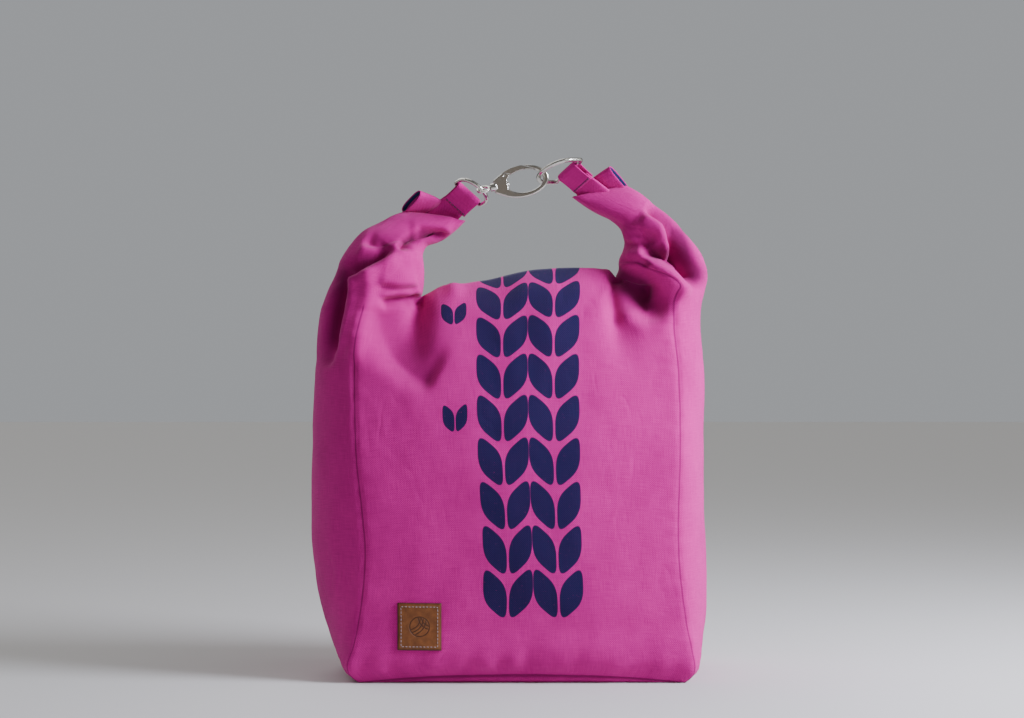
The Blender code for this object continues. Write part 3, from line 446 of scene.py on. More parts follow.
class Cloth:
    """Points, faces and cloth coordinates (u round the bag, v up it) of the body and both arms."""

    def __init__(self):
        rows, arms, left_end, right_end = cloth_rows()
        self.points, self.coords, self.faces = [], [], []
        self.climb, self.on_ridge = [], []  # share of the way up an arm, and 1 on the ridge
        self.columns = len(rows[0]) - 1
        self.ring = 2 * self.columns
        middle = rows[BODY_ROWS // 2]
        width = reach_along(middle)
        self.u = width - width[GUSSET_COLUMNS] + middle[GUSSET_COLUMNS][0]
        seams = GUSSET_COLUMNS, GUSSET_COLUMNS + PANEL_COLUMNS
        self.seams = [self.u[c] for c in seams]
        v = np.zeros(self.columns + 1)
        body = [self.add_row(ring_of(rows[0]), self.u, v)]
        for low, high in zip(rows, rows[1:]):
            v = v + np.linalg.norm(high - low, axis=1)
            body.append(self.add_row(ring_of(high), self.u, v))
        for column in range(left_end, right_end + 1):
            body[-1][-column % self.ring] = body[-1][column]
        for low, high in zip(body, body[1:]):
            self.join(low, high)
        self.base(rows[0], body[0])
        order = (range(left_end + 1), range(self.columns, right_end - 1, -1))
        for fronts, arm, flip in zip(order, arms, (False, True)):
            self.arm(list(fronts), arm, flip, body[-1], v)
        self.seam_ends = [v[column] + beyond for column, beyond in zip(seams, SEAM_BEYOND)]
        self.points, self.coords = np.concatenate(self.points), np.concatenate(self.coords)
        self.climb = np.concatenate(self.climb)
        self.on_ridge = np.zeros(len(self.points))
        self.on_ridge[body[-1][left_end:right_end + 1]] = 1
        self.drop_unused()

    def drop_unused(self):
        """Leaves out the back's own ridge points, whose place the front's ridge points have taken."""
        used = np.unique(np.concatenate([np.array(face) for face in self.faces]))
        place = np.zeros(len(self.points), dtype=int)
        place[used] = np.arange(len(used))
        self.faces = [tuple(place[list(face)]) for face in self.faces]
        self.points, self.coords = self.points[used], self.coords[used]
        self.climb, self.on_ridge = self.climb[used], self.on_ridge[used]

    def add_row(self, ring, u, v, climb=0.0):
        """Adds a closed row of points, given u and v along its front half; returns their numbers."""
        start = sum(len(p) for p in self.points)
        self.points.append(ring)
        self.climb.append(np.full(len(ring), climb))
        around, up = np.concatenate([u, BACK + u[-2:0:-1]]), np.concatenate([v, v[-2:0:-1]])
        self.coords.append(np.stack([around, up], axis=1))
        return list(range(start, start + len(self.points[-1])))

    def join(self, low, high, flip=False):
        self.faces.extend(quad[::-1] if flip else quad for quad in band(low, high))

    def front_u(self):
        """The coordinate round the bag of every point, with the back's folded onto the front's."""
        u = self.coords[:, 0]
        return np.where(u > BACK / 2, u - BACK, u)

    def base(self, bottom, ids):
        """The underside: it turns in under the bottom seams and lies on the table."""
        for scale, lift in BASE_RINGS:
            row = ring_of(bottom * (scale, scale, lift))
            inner = self.add_row(row, self.u, 0 * self.u - 2)
            self.join(inner, ids)
            ids = inner
        self.faces.append(tuple(ids[::-1]))

    def arm(self, fronts, rows, flip, top, v):
        """One arm, growing out of its stretch of the yoke's top row, closed inside its mouth."""
        below = [top[c] for c in fronts + [-c % self.ring for c in fronts[-2:0:-1]]]
        height = v[fronts]
        for k, (ring, climb) in enumerate(rows):
            height = height + climb
            here = self.add_row(ring, self.u[fronts], height, k / ARM_ROWS)
            self.join(below, here, flip)
            below = here
        self.faces.append(tuple(below[::-1] if flip else below))


def read_all(items, name, width, kind=float):
    """One property of all of a mesh's vertices, edges, corners or faces, as rows of numbers."""
    flat = np.zeros(len(items) * width, dtype=kind)
    items.foreach_get(name, flat)
    return flat.reshape(-1, width)


def points_of(mesh):
    """The mesh's points in millimetres."""
    return read_all(mesh.vertices, "co", 3) / MM


def normals_of(mesh):
    return read_all(mesh.vertices, "normal", 3)


def place_points(mesh, points):
    """Moves the mesh's points, given in millimetres."""
    mesh.vertices.foreach_set("co", (points * MM).ravel())
    mesh.update()


def fold_depth(flat, fold):
    """Depth of a fold's crease at each (x, z), its raised side as a share, and its tapered ends."""
    line, side, _, reach, depth, width = fold
    distance, share = nearest_on_line(flat, line)
    distance = distance * side
    above = np.maximum(distance, 0) / reach
    valley = np.where(distance > 0, width, 2.0 * width)
    ends = np.minimum(ease(share, 0, FOLD_TAPER), ease(1 - share, 0, FOLD_TAPER))
    return depth * np.exp(-((distance / valley) ** 2)), above * np.exp(1 - above), ends


def fold_push(points, normals):
    """How far the cloth stands out along its normals where the folds and hollows run."""
    flat = points[:, [0, 2]]
    facing_front = ease(-normals[:, 1], -0.15, 0.35)
    facing_back = ease(normals[:, 1], -0.1, 0.4)
    push = np.zeros(len(points))
    for fold in FOLDS:
        sunk, above, ends = fold_depth(flat, fold)
        push += (fold[2] * above - sunk) * ends * facing_front
    for table, facing in ((HOLLOWS, facing_front), (BACK_HOLLOWS, facing_back)):
        for line, depth, width in table:
            distance, _ = nearest_on_line(flat, line)
            push -= depth * np.exp(-((distance / width) ** 2)) * facing
    return push


def painted_shade_share(points, normals):
    """Painted shade for each point of the folded cloth, by how far it lies shut in between folds: 0 in
    the open, 1 inside.
    """
    flat = points[:, [0, 2]]
    inside = np.zeros(len(points))
    for fold in FOLDS:
        sunk, _, ends = fold_depth(flat, fold)
        inside += sunk * ends / FULL_SHADE_CREASE
    for line, share, width in SHADOWS:
        distance, _ = nearest_on_line(flat, line)
        inside += share * np.exp(-((distance / width) ** 2))
    return np.clip(inside * ease(-normals[:, 1], -0.35, 0.1), 0, 1)


def seam_push(cloth, points):
    """The sunk seams between the panels, and the puckers the stitching draws beside them."""
    u, v = cloth.front_u(), cloth.coords[:, 1]
    push = np.zeros(len(points))
    for k, (seam, end) in enumerate(zip(cloth.seams, cloth.seam_ends)):
        away = np.abs(u - seam) + 40 * ease(v, end - 8, end + 4)
        wave = np.sin(v / 2.9 + 2.2 * np.sin(v / 23 + k))
        wave += 0.6 * np.sin(v / 1.7 + 3 * np.sin(v / 17 + 2 * k))
        beside = away / SEAM_PUCKER_AT
        push += SEAM_PUCKER * wave * beside * np.exp(1 - beside)
        push -= SEAM_SINK * np.exp(-((away / SEAM_WIDTH) ** 2))
    pucker = np.sin(u / 5.2 + 2.2 * np.sin(u / 19)) + 0.6 * np.sin(u / 3.1 + 1)
    push += BASE_PUCKER * pucker * np.exp(-np.abs(v - BASE_PUCKER_AT) / 8) * ease(v, 0, 7)
    return push


def ripple(points):
    """Slack in the cloth: soft waves, livelier towards the top."""
    size = []
    for x, y, z in points:
        lively = 0.6 + 0.5 * min(max((z - 230) / 60, 0), 1) - 0.6 * min(max((z - 320) / 30, 0), 1)
        broad = noise.noise(Vector((x / 62, y / 62, z / 95)))
        fine = noise.noise(Vector((x / 21 + 7, y / 21, z / 30)))
        size.append(lively * (RIPPLE_BROAD * broad + RIPPLE_FINE * fine))
    return np.array(size)


def mesh_from(name, points, faces, coords):
    """A mesh from millimetres, with cloth coordinates that don't run back where its ends meet."""
    mesh = bpy.data.meshes.new(name)
    mesh.from_pydata((np.asarray(points) * MM).tolist(), [], [tuple(int(i) for i in f) for f in faces])
    mesh.update()
    corner = read_all(mesh.loops, "vertex_index", 1, int)[:, 0]
    at = np.array(coords, float)[corner]
    sides = read_all(mesh.polygons, "loop_total", 1, int)[:, 0]
    starts = read_all(mesh.polygons, "loop_start", 1, int)[:, 0]
    lowest = np.repeat(np.minimum.reduceat(at[:, 0], starts), sides)
    jumps = (at[:, 0] - lowest > JUMP) & (np.repeat(sides, sides) == 4)
    at[jumps, 0] = lowest[jumps] + COLUMN_WIDTH
    mesh.uv_layers.new(name="Cloth").data.foreach_set("uv", (at * MM).ravel())
    mesh.shade_smooth()
    return mesh


def link(name, mesh, finish):
    """Puts a mesh with its material into the scene."""
    obj = bpy.data.objects.new(name, mesh)
    bpy.context.scene.collection.objects.link(obj)
    mesh.materials.append(finish)
    return obj


def held_shares(cloth):
    """How firmly the cloth run holds each point: most at the base, the mouths, ridge and seams."""
    height = cloth.points[:, 2]
    seam = np.min([np.abs(cloth.front_u() - place) for place in cloth.seams], axis=0)
    held = np.maximum(HOLD_SEAM * np.exp(-((seam / SEAM_WIDTH) ** 2)), HOLD)
    held = np.maximum(held, 1 - ease(height, *HOLD_BASE))
    held = np.maximum(held, ease(cloth.climb, *HOLD_MOUTH))
    return np.maximum(held, cloth.on_ridge * HOLD_RIDGE)


def settle(obj, cloth):
    """A short cloth run: a little slack lets the canvas buckle between its seams, ridge and mouths."""
    slack = ease(cloth.points[:, 2], *SLACK_RISES)
    groups = weigh(obj, "held", held_shares(cloth)), weigh(obj, "slack", slack)
    modifier = obj.modifiers.new("settle", "CLOTH")
    set_canvas(modifier)
    scene = bpy.context.scene
    for step in range(1, SETTLE_STEPS + 1):
        scene.frame_set(step)
    shaped = obj.evaluated_get(bpy.context.evaluated_depsgraph_get()).to_mesh()
    moved = evened(obj.data, points_of(shaped) - points_of(obj.data), SETTLE_ROUNDS)
    size = np.linalg.norm(moved, axis=1)[:, None]
    moved *= np.minimum(1, SETTLE_CAP / np.maximum(size, 1e-6))
    obj.modifiers.remove(modifier)
    for group in groups:
        obj.vertex_groups.remove(group)
    scene.frame_set(1)
    place_points(obj.data, points_of(obj.data) + moved)


def set_canvas(modifier):
    """Stiff, heavy cloth, a little blown out, that keeps near its shape."""
    settings = modifier.settings
    settings.vertex_group_mass = "held"
    settings.pin_stiffness = 0.6
    settings.quality = 4
    settings.mass = 0.25
    settings.tension_stiffness = settings.compression_stiffness = 12
    settings.shear_stiffness = 4
    settings.bending_stiffness = 1.5
    settings.air_damping = 4
    settings.vertex_group_shrink = "slack"
    settings.shrink_min, settings.shrink_max = -BODY_SLACK, -ARM_SLACK
    settings.use_pressure = True
    settings.uniform_pressure_force = 0.4
    settings.effector_weights.gravity = 0.3
    modifier.collision_settings.use_collision = False


def weigh(obj, name, weights):
    """A vertex group with the weights, in hundredths."""
    group = obj.vertex_groups.new(name=name)
    rounded = np.round(np.clip(weights, 0, 1) * 100).astype(int)
    for step in np.unique(rounded):
        group.add([int(i) for i in np.nonzero(rounded == step)[0]], step / 100, "REPLACE")
    return group


def evened(mesh, values, rounds):
    """Values per vertex, averaged with their neighbours' so that no lone vertex sticks out."""
    a, b = read_all(mesh.edges, "vertices", 2, int).T
    count = np.bincount(np.concatenate([a, b]), minlength=len(values))[:, None]
    for _ in range(rounds):
        around = np.zeros_like(values)
        np.add.at(around, a, values[b])
        np.add.at(around, b, values[a])
        values = 0.5 * values + 0.5 * around / count
    return values


def cloth_object(finish_for):
    """The bag and both arms as one mesh, folded and settled, with painted shade marked in its deep
    creases.
    """
    cloth = Cloth()
    mesh = mesh_from("canvas_bag", cloth.points, cloth.faces, cloth.coords)
    points, normals = cloth.points, normals_of(mesh)
    held = ease(points[:, 2], 0, 12)
    push = fold_push(points, normals) + (seam_push(cloth, points) + ripple(points)) * held
    place_points(mesh, points + normals * push[:, None])
    bag = link("canvas_bag", mesh, finish_for(cloth))
    settle(bag, cloth)
    # Painted shade: how far each point lies shut in between folds, stored for the canvas to darken its
    # colour
    inside = painted_shade_share(points_of(mesh), normals_of(mesh))
    mesh.attributes.new("crease", "FLOAT", "POINT").data.foreach_set("value", inside)
    return bag


# Lofted pieces --------------------------------------------------------------------------------

def tube_faces(rings, sides, first=0):
    """The faces of a closed tube of rings of points: the bands between them and two caps."""
    rows = (first + np.arange(rings * sides)).reshape(rings, sides).tolist()
    faces = [face for low, high in zip(rows, rows[1:]) for face in band(low, high)]
    return faces + [tuple(rows[0][::-1]), tuple(rows[-1])]


def loft(name, rings, finish):
    """A closed tube through rings of equal length, with cloth coordinates of its own."""
    rings = np.array(rings, float)
    u = reach_along(rings[0]) + LOFT_FROM
    steps = np.linalg.norm(np.diff(rings, axis=0), axis=2).mean(axis=1)
    v = np.concatenate([[0], np.cumsum(steps)])
    coords = [(across, up) for up in v for across in u]
    faces = tube_faces(*rings.shape[:2])
    return link(name, mesh_from(name, rings.reshape(-1, 3), faces, coords), finish)


def flat_section(centre, wide, thick, squareness=4.0, count=36):
    """A ring with flat faces and round edges: wide and thick are its half vectors."""
    turn = 2 * math.pi * np.arange(count) / count
    c = np.sign(np.cos(turn)) * np.abs(np.cos(turn)) ** (2 / squareness)
    s = np.sign(np.sin(turn)) * np.abs(np.sin(turn)) ** (2 / squareness)
    return np.asarray(centre) + np.outer(c, wide) + np.outer(s, thick)


def stitches(name, path, lift, length, radius, finish):
    """A row of short threads along a path of (point, normal), each sunk at its two ends."""
    table = np.array([(*place, *normal) for place, normal in path], float)
    reach = reach_along(table[:, :3])
    count = int(reach[-1] // STITCH_PITCH)
    points, faces = [], []
    for middle in (np.arange(count) + 0.5) * reach[-1] / count:
        ends = [middle - length / 2, middle + length / 2]
        here, ahead = smooth(np.column_stack([reach, table]), ends)
        rings = stitch_rings(here[:3], ahead[:3], unit(here[3:]), lift, radius)
        faces.extend(tube_faces(*rings.shape[:2], len(points)))
        points.extend(rings.reshape(-1, 3))
    return link(name, mesh_from(name, points, faces, np.zeros((len(points), 2))), finish)


def stitch_rings(start, end, up, lift, radius):
    """The rings of one thread from start to end, swelling between them."""
    side = np.cross(up, unit(end - start))
    turn = 2 * math.pi * np.arange(THREAD_SIDES) / THREAD_SIDES
    outline = np.outer(np.cos(turn), side) + np.outer(np.sin(turn), up)
    return np.array([
        start + (end - start) * share + up * (lift + radius * (swell - 1)) + radius * swell * outline
        for share, swell in THREAD_PROFILE
    ])


def tab_frame(side):
    """The ring's bar, the tab's three directions (down it, out of it, along the bar), the wire."""
    bar, down, along, wire, _, _ = TABS[side]
    z = unit(along)
    x = unit(np.array(down) - z * np.dot(down, z))
    return np.array(bar, float), x, np.cross(z, x), z, wire


def tab_path(bend, end):
    """Along the strap round the bar: (down the tab, out of its face, the outward normal of both)."""
    shares = np.linspace(0, 1, 9)
    path = [(TAB_REACH * (1 - t), end + (bend - end) * t, 0.0, 1.0) for t in shares]
    for a in np.linspace(math.pi / 2, 3 * math.pi / 2, 13)[1:-1]:
        path.append((bend * math.cos(a), bend * math.sin(a), math.cos(a), math.sin(a)))
    return path + [(TAB_REACH * t, -(bend + (end - bend) * t), 0.0, -1.0) for t in shares]


def tab(side, finish, thread):
    """A strap folded round the ring's bar, its two legs sewn together over the hem's end."""
    bar, x, y, z, wire = tab_frame(side)
    bend, end = wire + TAB_PLAY + TAB_LAYER, TAB_LEGS + TAB_LAYER
    path = tab_path(bend, end)
    rings = []
    for i, (u, v, nu, nv) in enumerate(path):
        waist = 1 - TAB_WAIST * math.sin(math.pi * min(max(u / TAB_REACH, 0), 1))
        normal = (x * nu + y * nv) * TAB_LAYER * (TAB_END if i in (0, len(path) - 1) else 1)
        rings.append(flat_section(bar + x * u + y * v, z * TAB_HALF * waist, normal))
    strap = loft(f"{side}_tab_strap", rings, finish)
    face = -1 if y[1] > 0 else 1
    height = end + (bend - end) * (1 - TAB_STITCHES_AT / TAB_REACH) + TAB_LAYER
    start = bar + x * TAB_STITCHES_AT + y * height * face
    reach = TAB_HALF - TAB_THREAD_INSET
    row = [(start + z * w, y * face) for w in np.linspace(-reach, reach, 12)]
    sewing = stitches(f"{side}_tab_thread", row, *TAB_THREAD, thread)
    for piece in (strap, sewing):
        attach(piece, "handle")
    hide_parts(f"{side}_tab")
    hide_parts(f"{side}_tab_stitching")


def hem_end(side, finish, count=14):
    """The flattened end of the rolled hem, between the tab's legs and the arm's mouth."""
    bar, x, y, z, _ = tab_frame(side)
    _, _, _, _, beyond, last_wide = TABS[side]
    last_wide = unit(last_wide) * (-1 if np.dot(z, last_wide) < 0 else 1)
    path = spaced([bar + x * HEM_END_FROM, *np.array(beyond, float)], count)
    rings = []
    for i, centre in enumerate(path):
        t = i / (count - 1)
        wide = unit(z * (1 - t) + last_wide * t)
        along = unit(path[min(i + 1, count - 1)] - path[max(i - 1, 0)])
        thick = unit(np.cross(wide, along))
        width, depth = np.interp(t, (0, 1), HEM_END_WIDTHS), np.interp(t, (0, 1), HEM_END_DEPTHS)
        rings.append(flat_section(centre, wide * width, thick * depth, 3.0))
    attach(loft(f"{side}_hem_end", rings, finish), "handle")


def cuff(side, finish, dark):
    """A turned-back corner of the hem: a flattened tube with the lining showing in its mouth."""
    mouth, inwards, wide = CUFFS[side]
    axis = unit(inwards)
    wide = unit(np.array(wide) - axis * np.dot(wide, axis))
    wide, thick = wide * CUFF_HALF[0], np.cross(axis, wide) * CUFF_HALF[1]
    for name, node, rings, material in (
        ("cuff", "hem_cuff", CUFF_RINGS, finish),
        ("cuff_lining", "lining_cuff", CUFF_LINING_RINGS, dark),
    ):
        sections = [
            flat_section(mouth + axis * at, wide * across, thick * deep, 2.6, 40)
            for at, across, deep in rings
        ]
        piece = loft(f"{side}_{name}", sections, material)
        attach(piece, "handle")
        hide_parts(f"{side}_{node}")


def roll_section(x):
    """The roll at x: its outline, and the place and outward direction of its row of thread."""
    ends = min(ease(x, *ROLL_RISES), 1 - ease(x, *ROLL_FALLS))
    lump = 1 + 0.05 * math.sin(x / 9.0) + 0.04 * math.sin(x / 4.1 + 1)
    radius = ROLL_RADIUS * lump * (ROLL_END_SIZE + (1 - ROLL_END_SIZE) * ends)
    height = smooth(RIDGE, [x])[0] - ROLL_BELOW_RIDGE + 0.8 * math.sin(x / 21)
    middle = np.array([x, ROLL_Y - ROLL_TUCK * (1 - ends), height])
    start = ROLL_EDGE_AT + 0.12 * math.sin(x / 17)
    turn = 2 * math.pi * np.arange(ROLL_SIDES) / ROLL_SIDES
    spiral = radius + ROLL_EDGE * ease(1 - turn / (2 * math.pi), -0.2, 1.0)
    spiral[0] -= ROLL_EDGE * 0.9
    spiral *= 1 + 0.06 * np.cos(4 * (turn + start))
    outline = middle + spiral[:, None] * outwards(turn + start)
    away = outwards(np.array([start + ROLL_THREAD_AT]))[0]
    return outline, (middle + (radius + ROLL_EDGE * 0.95) * away, away)


def outwards(angles):
    """Directions across the roll, one for each angle."""
    return np.stack([0 * angles, np.cos(angles), np.sin(angles)], axis=1)


def rolled_top(finish, thread):
    """The rolled hem behind the ridge, with its free edge as a step, and a row of thread."""
    sections = [roll_section(x) for x in np.linspace(*ROLL_ENDS, 90)]
    roll = loft("rolled_top", [outline for outline, _ in sections], finish)
    row = stitches("rolled_top_thread", [sewn for _, sewn in sections[5:-5]], *ROLL_THREAD, thread)
    for piece in (roll, row):
        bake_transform(piece)
    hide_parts("rolled_hem")


# The label ------------------------------------------------------------------------------------

def skin_reader(obj):
    """Reads the front of the cloth at (x, z): the point and the outward normal, in millimetres."""
    mesh = obj.data
    tree = BVHTree.FromPolygons([v.co for v in mesh.vertices], [p.vertices[:] for p in mesh.polygons])

    def read(x, z):
        hit, normal, _, _ = tree.ray_cast(Vector((x * MM, -0.3, z * MM)), Vector((0, 1, 0)))
        return np.array(hit) / MM, np.array(normal)

    return read


def label_sheet(read, lean, lift, inset):
    """A grid of points over the label's place, lifted off the cloth."""
    sheet = np.zeros((LABEL_GRID, LABEL_GRID, 3))
    half_w, half_h = LABEL_HALF[0] - inset, LABEL_HALF[1] - inset
    spread = np.linspace(-1, 1, LABEL_GRID)
    for i, a in enumerate(spread):
        for j, b in enumerate(spread):
            point, _ = read(LABEL_X + a * half_w, LABEL_Z + b * half_h)
            sheet[j, i] = point + lean * (lift - 0.25 * max(abs(a), abs(b)) ** 16)
    return sheet


def label_patch(read, lean, leather):
    """The leather: rings of points up its rounded edge, its face as a grid, and a plain back."""
    last = LABEL_GRID - 1
    edge = [(0, i) for i in range(last)] + [(j, last) for j in range(last)]
    edge += [(last, i) for i in range(last, 0, -1)] + [(j, 0) for j in range(last, 0, -1)]
    count = len(edge)
    *sides, face = [label_sheet(read, lean, *layer) for layer in LABEL_LAYERS]
    points = [sheet[place] for sheet in sides for place in edge]
    index = {(j, i): len(points) + j * LABEL_GRID + i for j, i in np.ndindex(LABEL_GRID, LABEL_GRID)}
    points.extend(face.reshape(-1, 3))
    rings = [range(k * count, (k + 1) * count) for k in range(len(sides))]
    rings.append([index[place] for place in edge])
    faces = [tuple(rings[0])[::-1]]
    for below, above in zip(rings, rings[1:]):
        faces.extend(band(below, above))
    for j, i in np.ndindex(last, last):
        faces.append((index[j, i], index[j, i + 1], index[j + 1, i + 1], index[j + 1, i]))
    coords = [(point[0] - LABEL_X, point[2] - LABEL_Z) for point in points]
    return link("label_patch", mesh_from("label_patch", points, faces, coords), leather)


def label_thread(read, lean, thread):
    """A run of thread all round, a little way in from the label's edge."""
    w, h = LABEL_HALF[0] - LABEL_STITCH_INSET, LABEL_HALF[1] - LABEL_STITCH_INSET
    corners = [(-w, -h), (w, -h), (w, h), (-w, h), (-w, -h)]
    path = []
    for (a, b), (c, d) in zip(corners, corners[1:]):
        for t in np.linspace(0, 1, 13)[:-1]:
            point, _ = read(LABEL_X + a + (c - a) * t, LABEL_Z + b + (d - b) * t)
            path.append((point + lean * LABEL_THICK, lean))
    path.append(path[0])
    return stitches("label_thread", path, *LABEL_THREAD, thread)


def label(read, leather, thread):
    """A leather label lying on the front, sewn down all round."""
    _, lean = read(LABEL_X, LABEL_Z)
    patch, sewing = label_patch(read, lean, leather), label_thread(read, lean, thread)
    for piece in (patch, sewing):
        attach(piece, "bag")
    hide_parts("leather_label")
    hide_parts("label_stitching")


# Materials ------------------------------------------------------------------------------------

def add_node(tree, kind, inputs=(), **settings):
    """A new shader node with its settings, and its inputs by number or name."""
    node = tree.nodes.new(f"ShaderNode{kind}")
    for name, value in settings.items():
        setattr(node, name, value)
    for place, value in dict(inputs).items():
        fill(tree, node.inputs[place], value)
    return node


def fill(tree, socket, value):
    """Sets a node's input to another node's output or value, a linear colour or a number."""
    if isinstance(value, Value):
        value = value.socket
    if isinstance(value, bpy.types.NodeSocket):
        tree.links.new(value, socket)
    else:
        socket.default_value = (*value, 1) if isinstance(value, tuple) else value


class Value:
    """A number worked out by nodes; arithmetic on it adds more nodes."""

    def __init__(self, tree, socket):
        self.tree, self.socket = tree, socket

    def apply(self, operation, other=0.0):
        """The result of one of the Math node's operations; those with one operand ignore the other."""
        node = add_node(self.tree, "Math", {0: self, 1: other}, operation=operation)
        return Value(self.tree, node.outputs[0])

    __add__ = functools.partialmethod(apply, "ADD")
    __sub__ = functools.partialmethod(apply, "SUBTRACT")
    __mul__ = functools.partialmethod(apply, "MULTIPLY")
    __truediv__ = functools.partialmethod(apply, "DIVIDE")
    __pow__ = functools.partialmethod(apply, "POWER")
    __abs__ = functools.partialmethod(apply, "ABSOLUTE")
    __gt__ = functools.partialmethod(apply, "GREATER_THAN")
    __lt__ = functools.partialmethod(apply, "LESS_THAN")
    most = functools.partialmethod(apply, "MAXIMUM")

    def ramp(self, low, high, at_low=0.0, at_high=1.0):
        """Runs from at_low to at_high while this value runs from low to high."""
        node = add_node(self.tree, "MapRange", enumerate((self, low, high, at_low, at_high)))
        return Value(self.tree, node.outputs[0])


class Paint:
    """A Principled material and short ways to add nodes to it."""

    def __init__(self, name, colour, roughness, metallic=0.0):
        self.material = bpy.data.materials.new(name)
        self.material.use_nodes = True
        self.tree = self.material.node_tree
        self.set("Base Color", colour)
        self.set("Roughness", roughness)
        self.set("Metallic", metallic)

    def set(self, name, value):
        fill(self.tree, self.tree.nodes["Principled BSDF"].inputs[name], value)

    def cloth_uv(self):
        """Cloth coordinates in millimetres, as two values."""
        uv = add_node(self.tree, "UVMap", uv_map="Cloth")
        parts = add_node(self.tree, "SeparateXYZ", {0: uv.outputs[0]})
        return Value(self.tree, parts.outputs[0]) / MM, Value(self.tree, parts.outputs[1]) / MM

    def crease(self):
        """The painted shade in the folds: how far the cloth lies shut in between them."""
        node = add_node(self.tree, "Attribute", attribute_name="crease")
        return Value(self.tree, node.outputs["Fac"])

    def noise(self, x, y, scale, detail=2.0):
        place = add_node(self.tree, "CombineXYZ", {0: x, 1: y})
        return self.noise_at(place.outputs[0], scale, detail)

    def noise_at(self, place, scale, detail):
        inputs = {"Vector": place, "Scale": scale, "Detail": detail}
        return Value(self.tree, add_node(self.tree, "TexNoise", inputs).outputs["Fac"])

    def mix(self, share, under, over):
        """The colour under, covered by the colour over as far as the share says."""
        node = add_node(self.tree, "Mix", {0: share, 6: under, 7: over}, data_type="RGBA")
        return Value(self.tree, node.outputs[2])

    def bump(self, height, distance, strength, **more):
        inputs = {"Height": height, "Distance": distance, "Strength": strength, **more}
        return Value(self.tree, add_node(self.tree, "Bump", inputs).outputs[0])


def darker(colour, share):
    return tuple(part * share for part in colour)


def woven(u, v, pitch):
    """Height of a plain weave: threads of both directions passing over and under each other."""
    turn = math.pi / pitch
    return (u * turn).apply("SINE") * (v * turn).apply("SINE")


def pressed_creases(paint, u, v):
    """Height of the faint creases left by use: thin wandering lines, in patches."""
    wander = paint.noise(u, v * 0.45, 0.05, 1.0)
    patch = paint.noise(u, v, 0.017, 1.0).ramp(0.46, 0.66)
    return abs(wander - 0.5).ramp(0.0, 0.08, -1.3, 0.0) * patch


def sewn_lines(paint, u, v, base, thread, seams):
    """The colour with its dark seams, each up to where a fold covers it, and the base's edge."""
    for seam, end in seams:
        line = abs(u - seam).ramp(0.3, 1.0, 0.7, 0.0) * v.ramp(end - 6, end, 1.0, 0.0)
        base = paint.mix(line, base, thread)
    return paint.mix(abs(v + 0.2).ramp(0.3, 1.2, 0.8, 0.0), base, thread)


def canvas(name, colour, seams=(), printed=None):
    """Heavy cotton canvas: plain weave, slubs both ways, uneven dye, creases, seams, a print, and
    painted shade in deep folds.
    """
    paint = Paint(name, colour, 0.92)
    u, v = paint.cloth_uv()
    weave = woven(u, v, THREAD_PITCH)
    slubs = paint.noise(u * 0.07, v * 1.3, 1.0) + paint.noise(u * 1.3, v * 0.07, 1.0)
    tone = slubs * 0.42 + paint.noise(u, v, 0.021, 3.0) * 0.45 + weave * 0.09
    light = tuple(min(1, part * 1.16 + 0.012) for part in colour)
    base = paint.mix(tone.ramp(0.38, 0.95), darker(colour, 0.72), light)
    if printed:
        worn = paint.noise(u, v, 1.1, 3.0).ramp(0.70, 0.76, 1.0, 0.0)
        ink = printed(u, v) * worn * tone.ramp(0.35, 0.95, 1.0, 0.975)
        base = paint.mix(ink, base, PRINT_NAVY)
        paint.set("Roughness", ink.ramp(0, 1, 0.93, 0.72))
    if seams:
        base = sewn_lines(paint, u, v, base, darker(colour, 0.3), seams)
    # Painted shade: the colour is darkened where the cloth lies shut in between folds
    paint.set("Base Color", paint.mix(paint.crease() * 0.85, base, darker(colour, 0.22)))
    height = weave * 0.5 + slubs * 0.9 + pressed_creases(paint, u, v)
    paint.set("Normal", paint.bump(height, 0.00035, 0.55))
    paint.set("Sheen Weight", 0.10)
    paint.set("Sheen Roughness", 0.45)
    paint.set("Specular IOR Level", 0.15)
    return paint.material


def stitch_column(u, v, middle, half_width, pitch, start):
    """One column of knit stitches: a pair of leaning drops in each row, meeting in a V."""
    x = abs(u - middle)
    lean = v - start - x * 0.9
    across = (x - half_width * 0.515) / (half_width * 0.475)
    tall = ((lean / pitch).apply("FRACT") - 0.5) / 0.42
    inside = abs(across) ** 3.2 + abs(tall) ** 3.2
    return inside.ramp(0.95, 1.05, 1.0, 0.0) * (lean > 0.0)


def knit_print(u, v):
    """Bold knit stitches up the front: two full columns, and two loose stitches beside them."""
    marks = []
    for middle in PRINT_COLUMNS:
        column = stitch_column(u, v, middle, PRINT_HALF, PRINT_PITCH, PRINT_FROM)
        marks.append(column * (abs(u - middle) < PRINT_HALF))
    for x, z in LOOSE_STITCHES:
        raised = v - abs(u - x)
        band = (raised > z - 1) * (raised < z + LOOSE_PITCH) * (abs(u - x) < LOOSE_HALF + 0.5)
        marks.append(stitch_column(u, v, x, LOOSE_HALF, LOOSE_PITCH, z) * band)
    return functools.reduce(Value.most, marks)


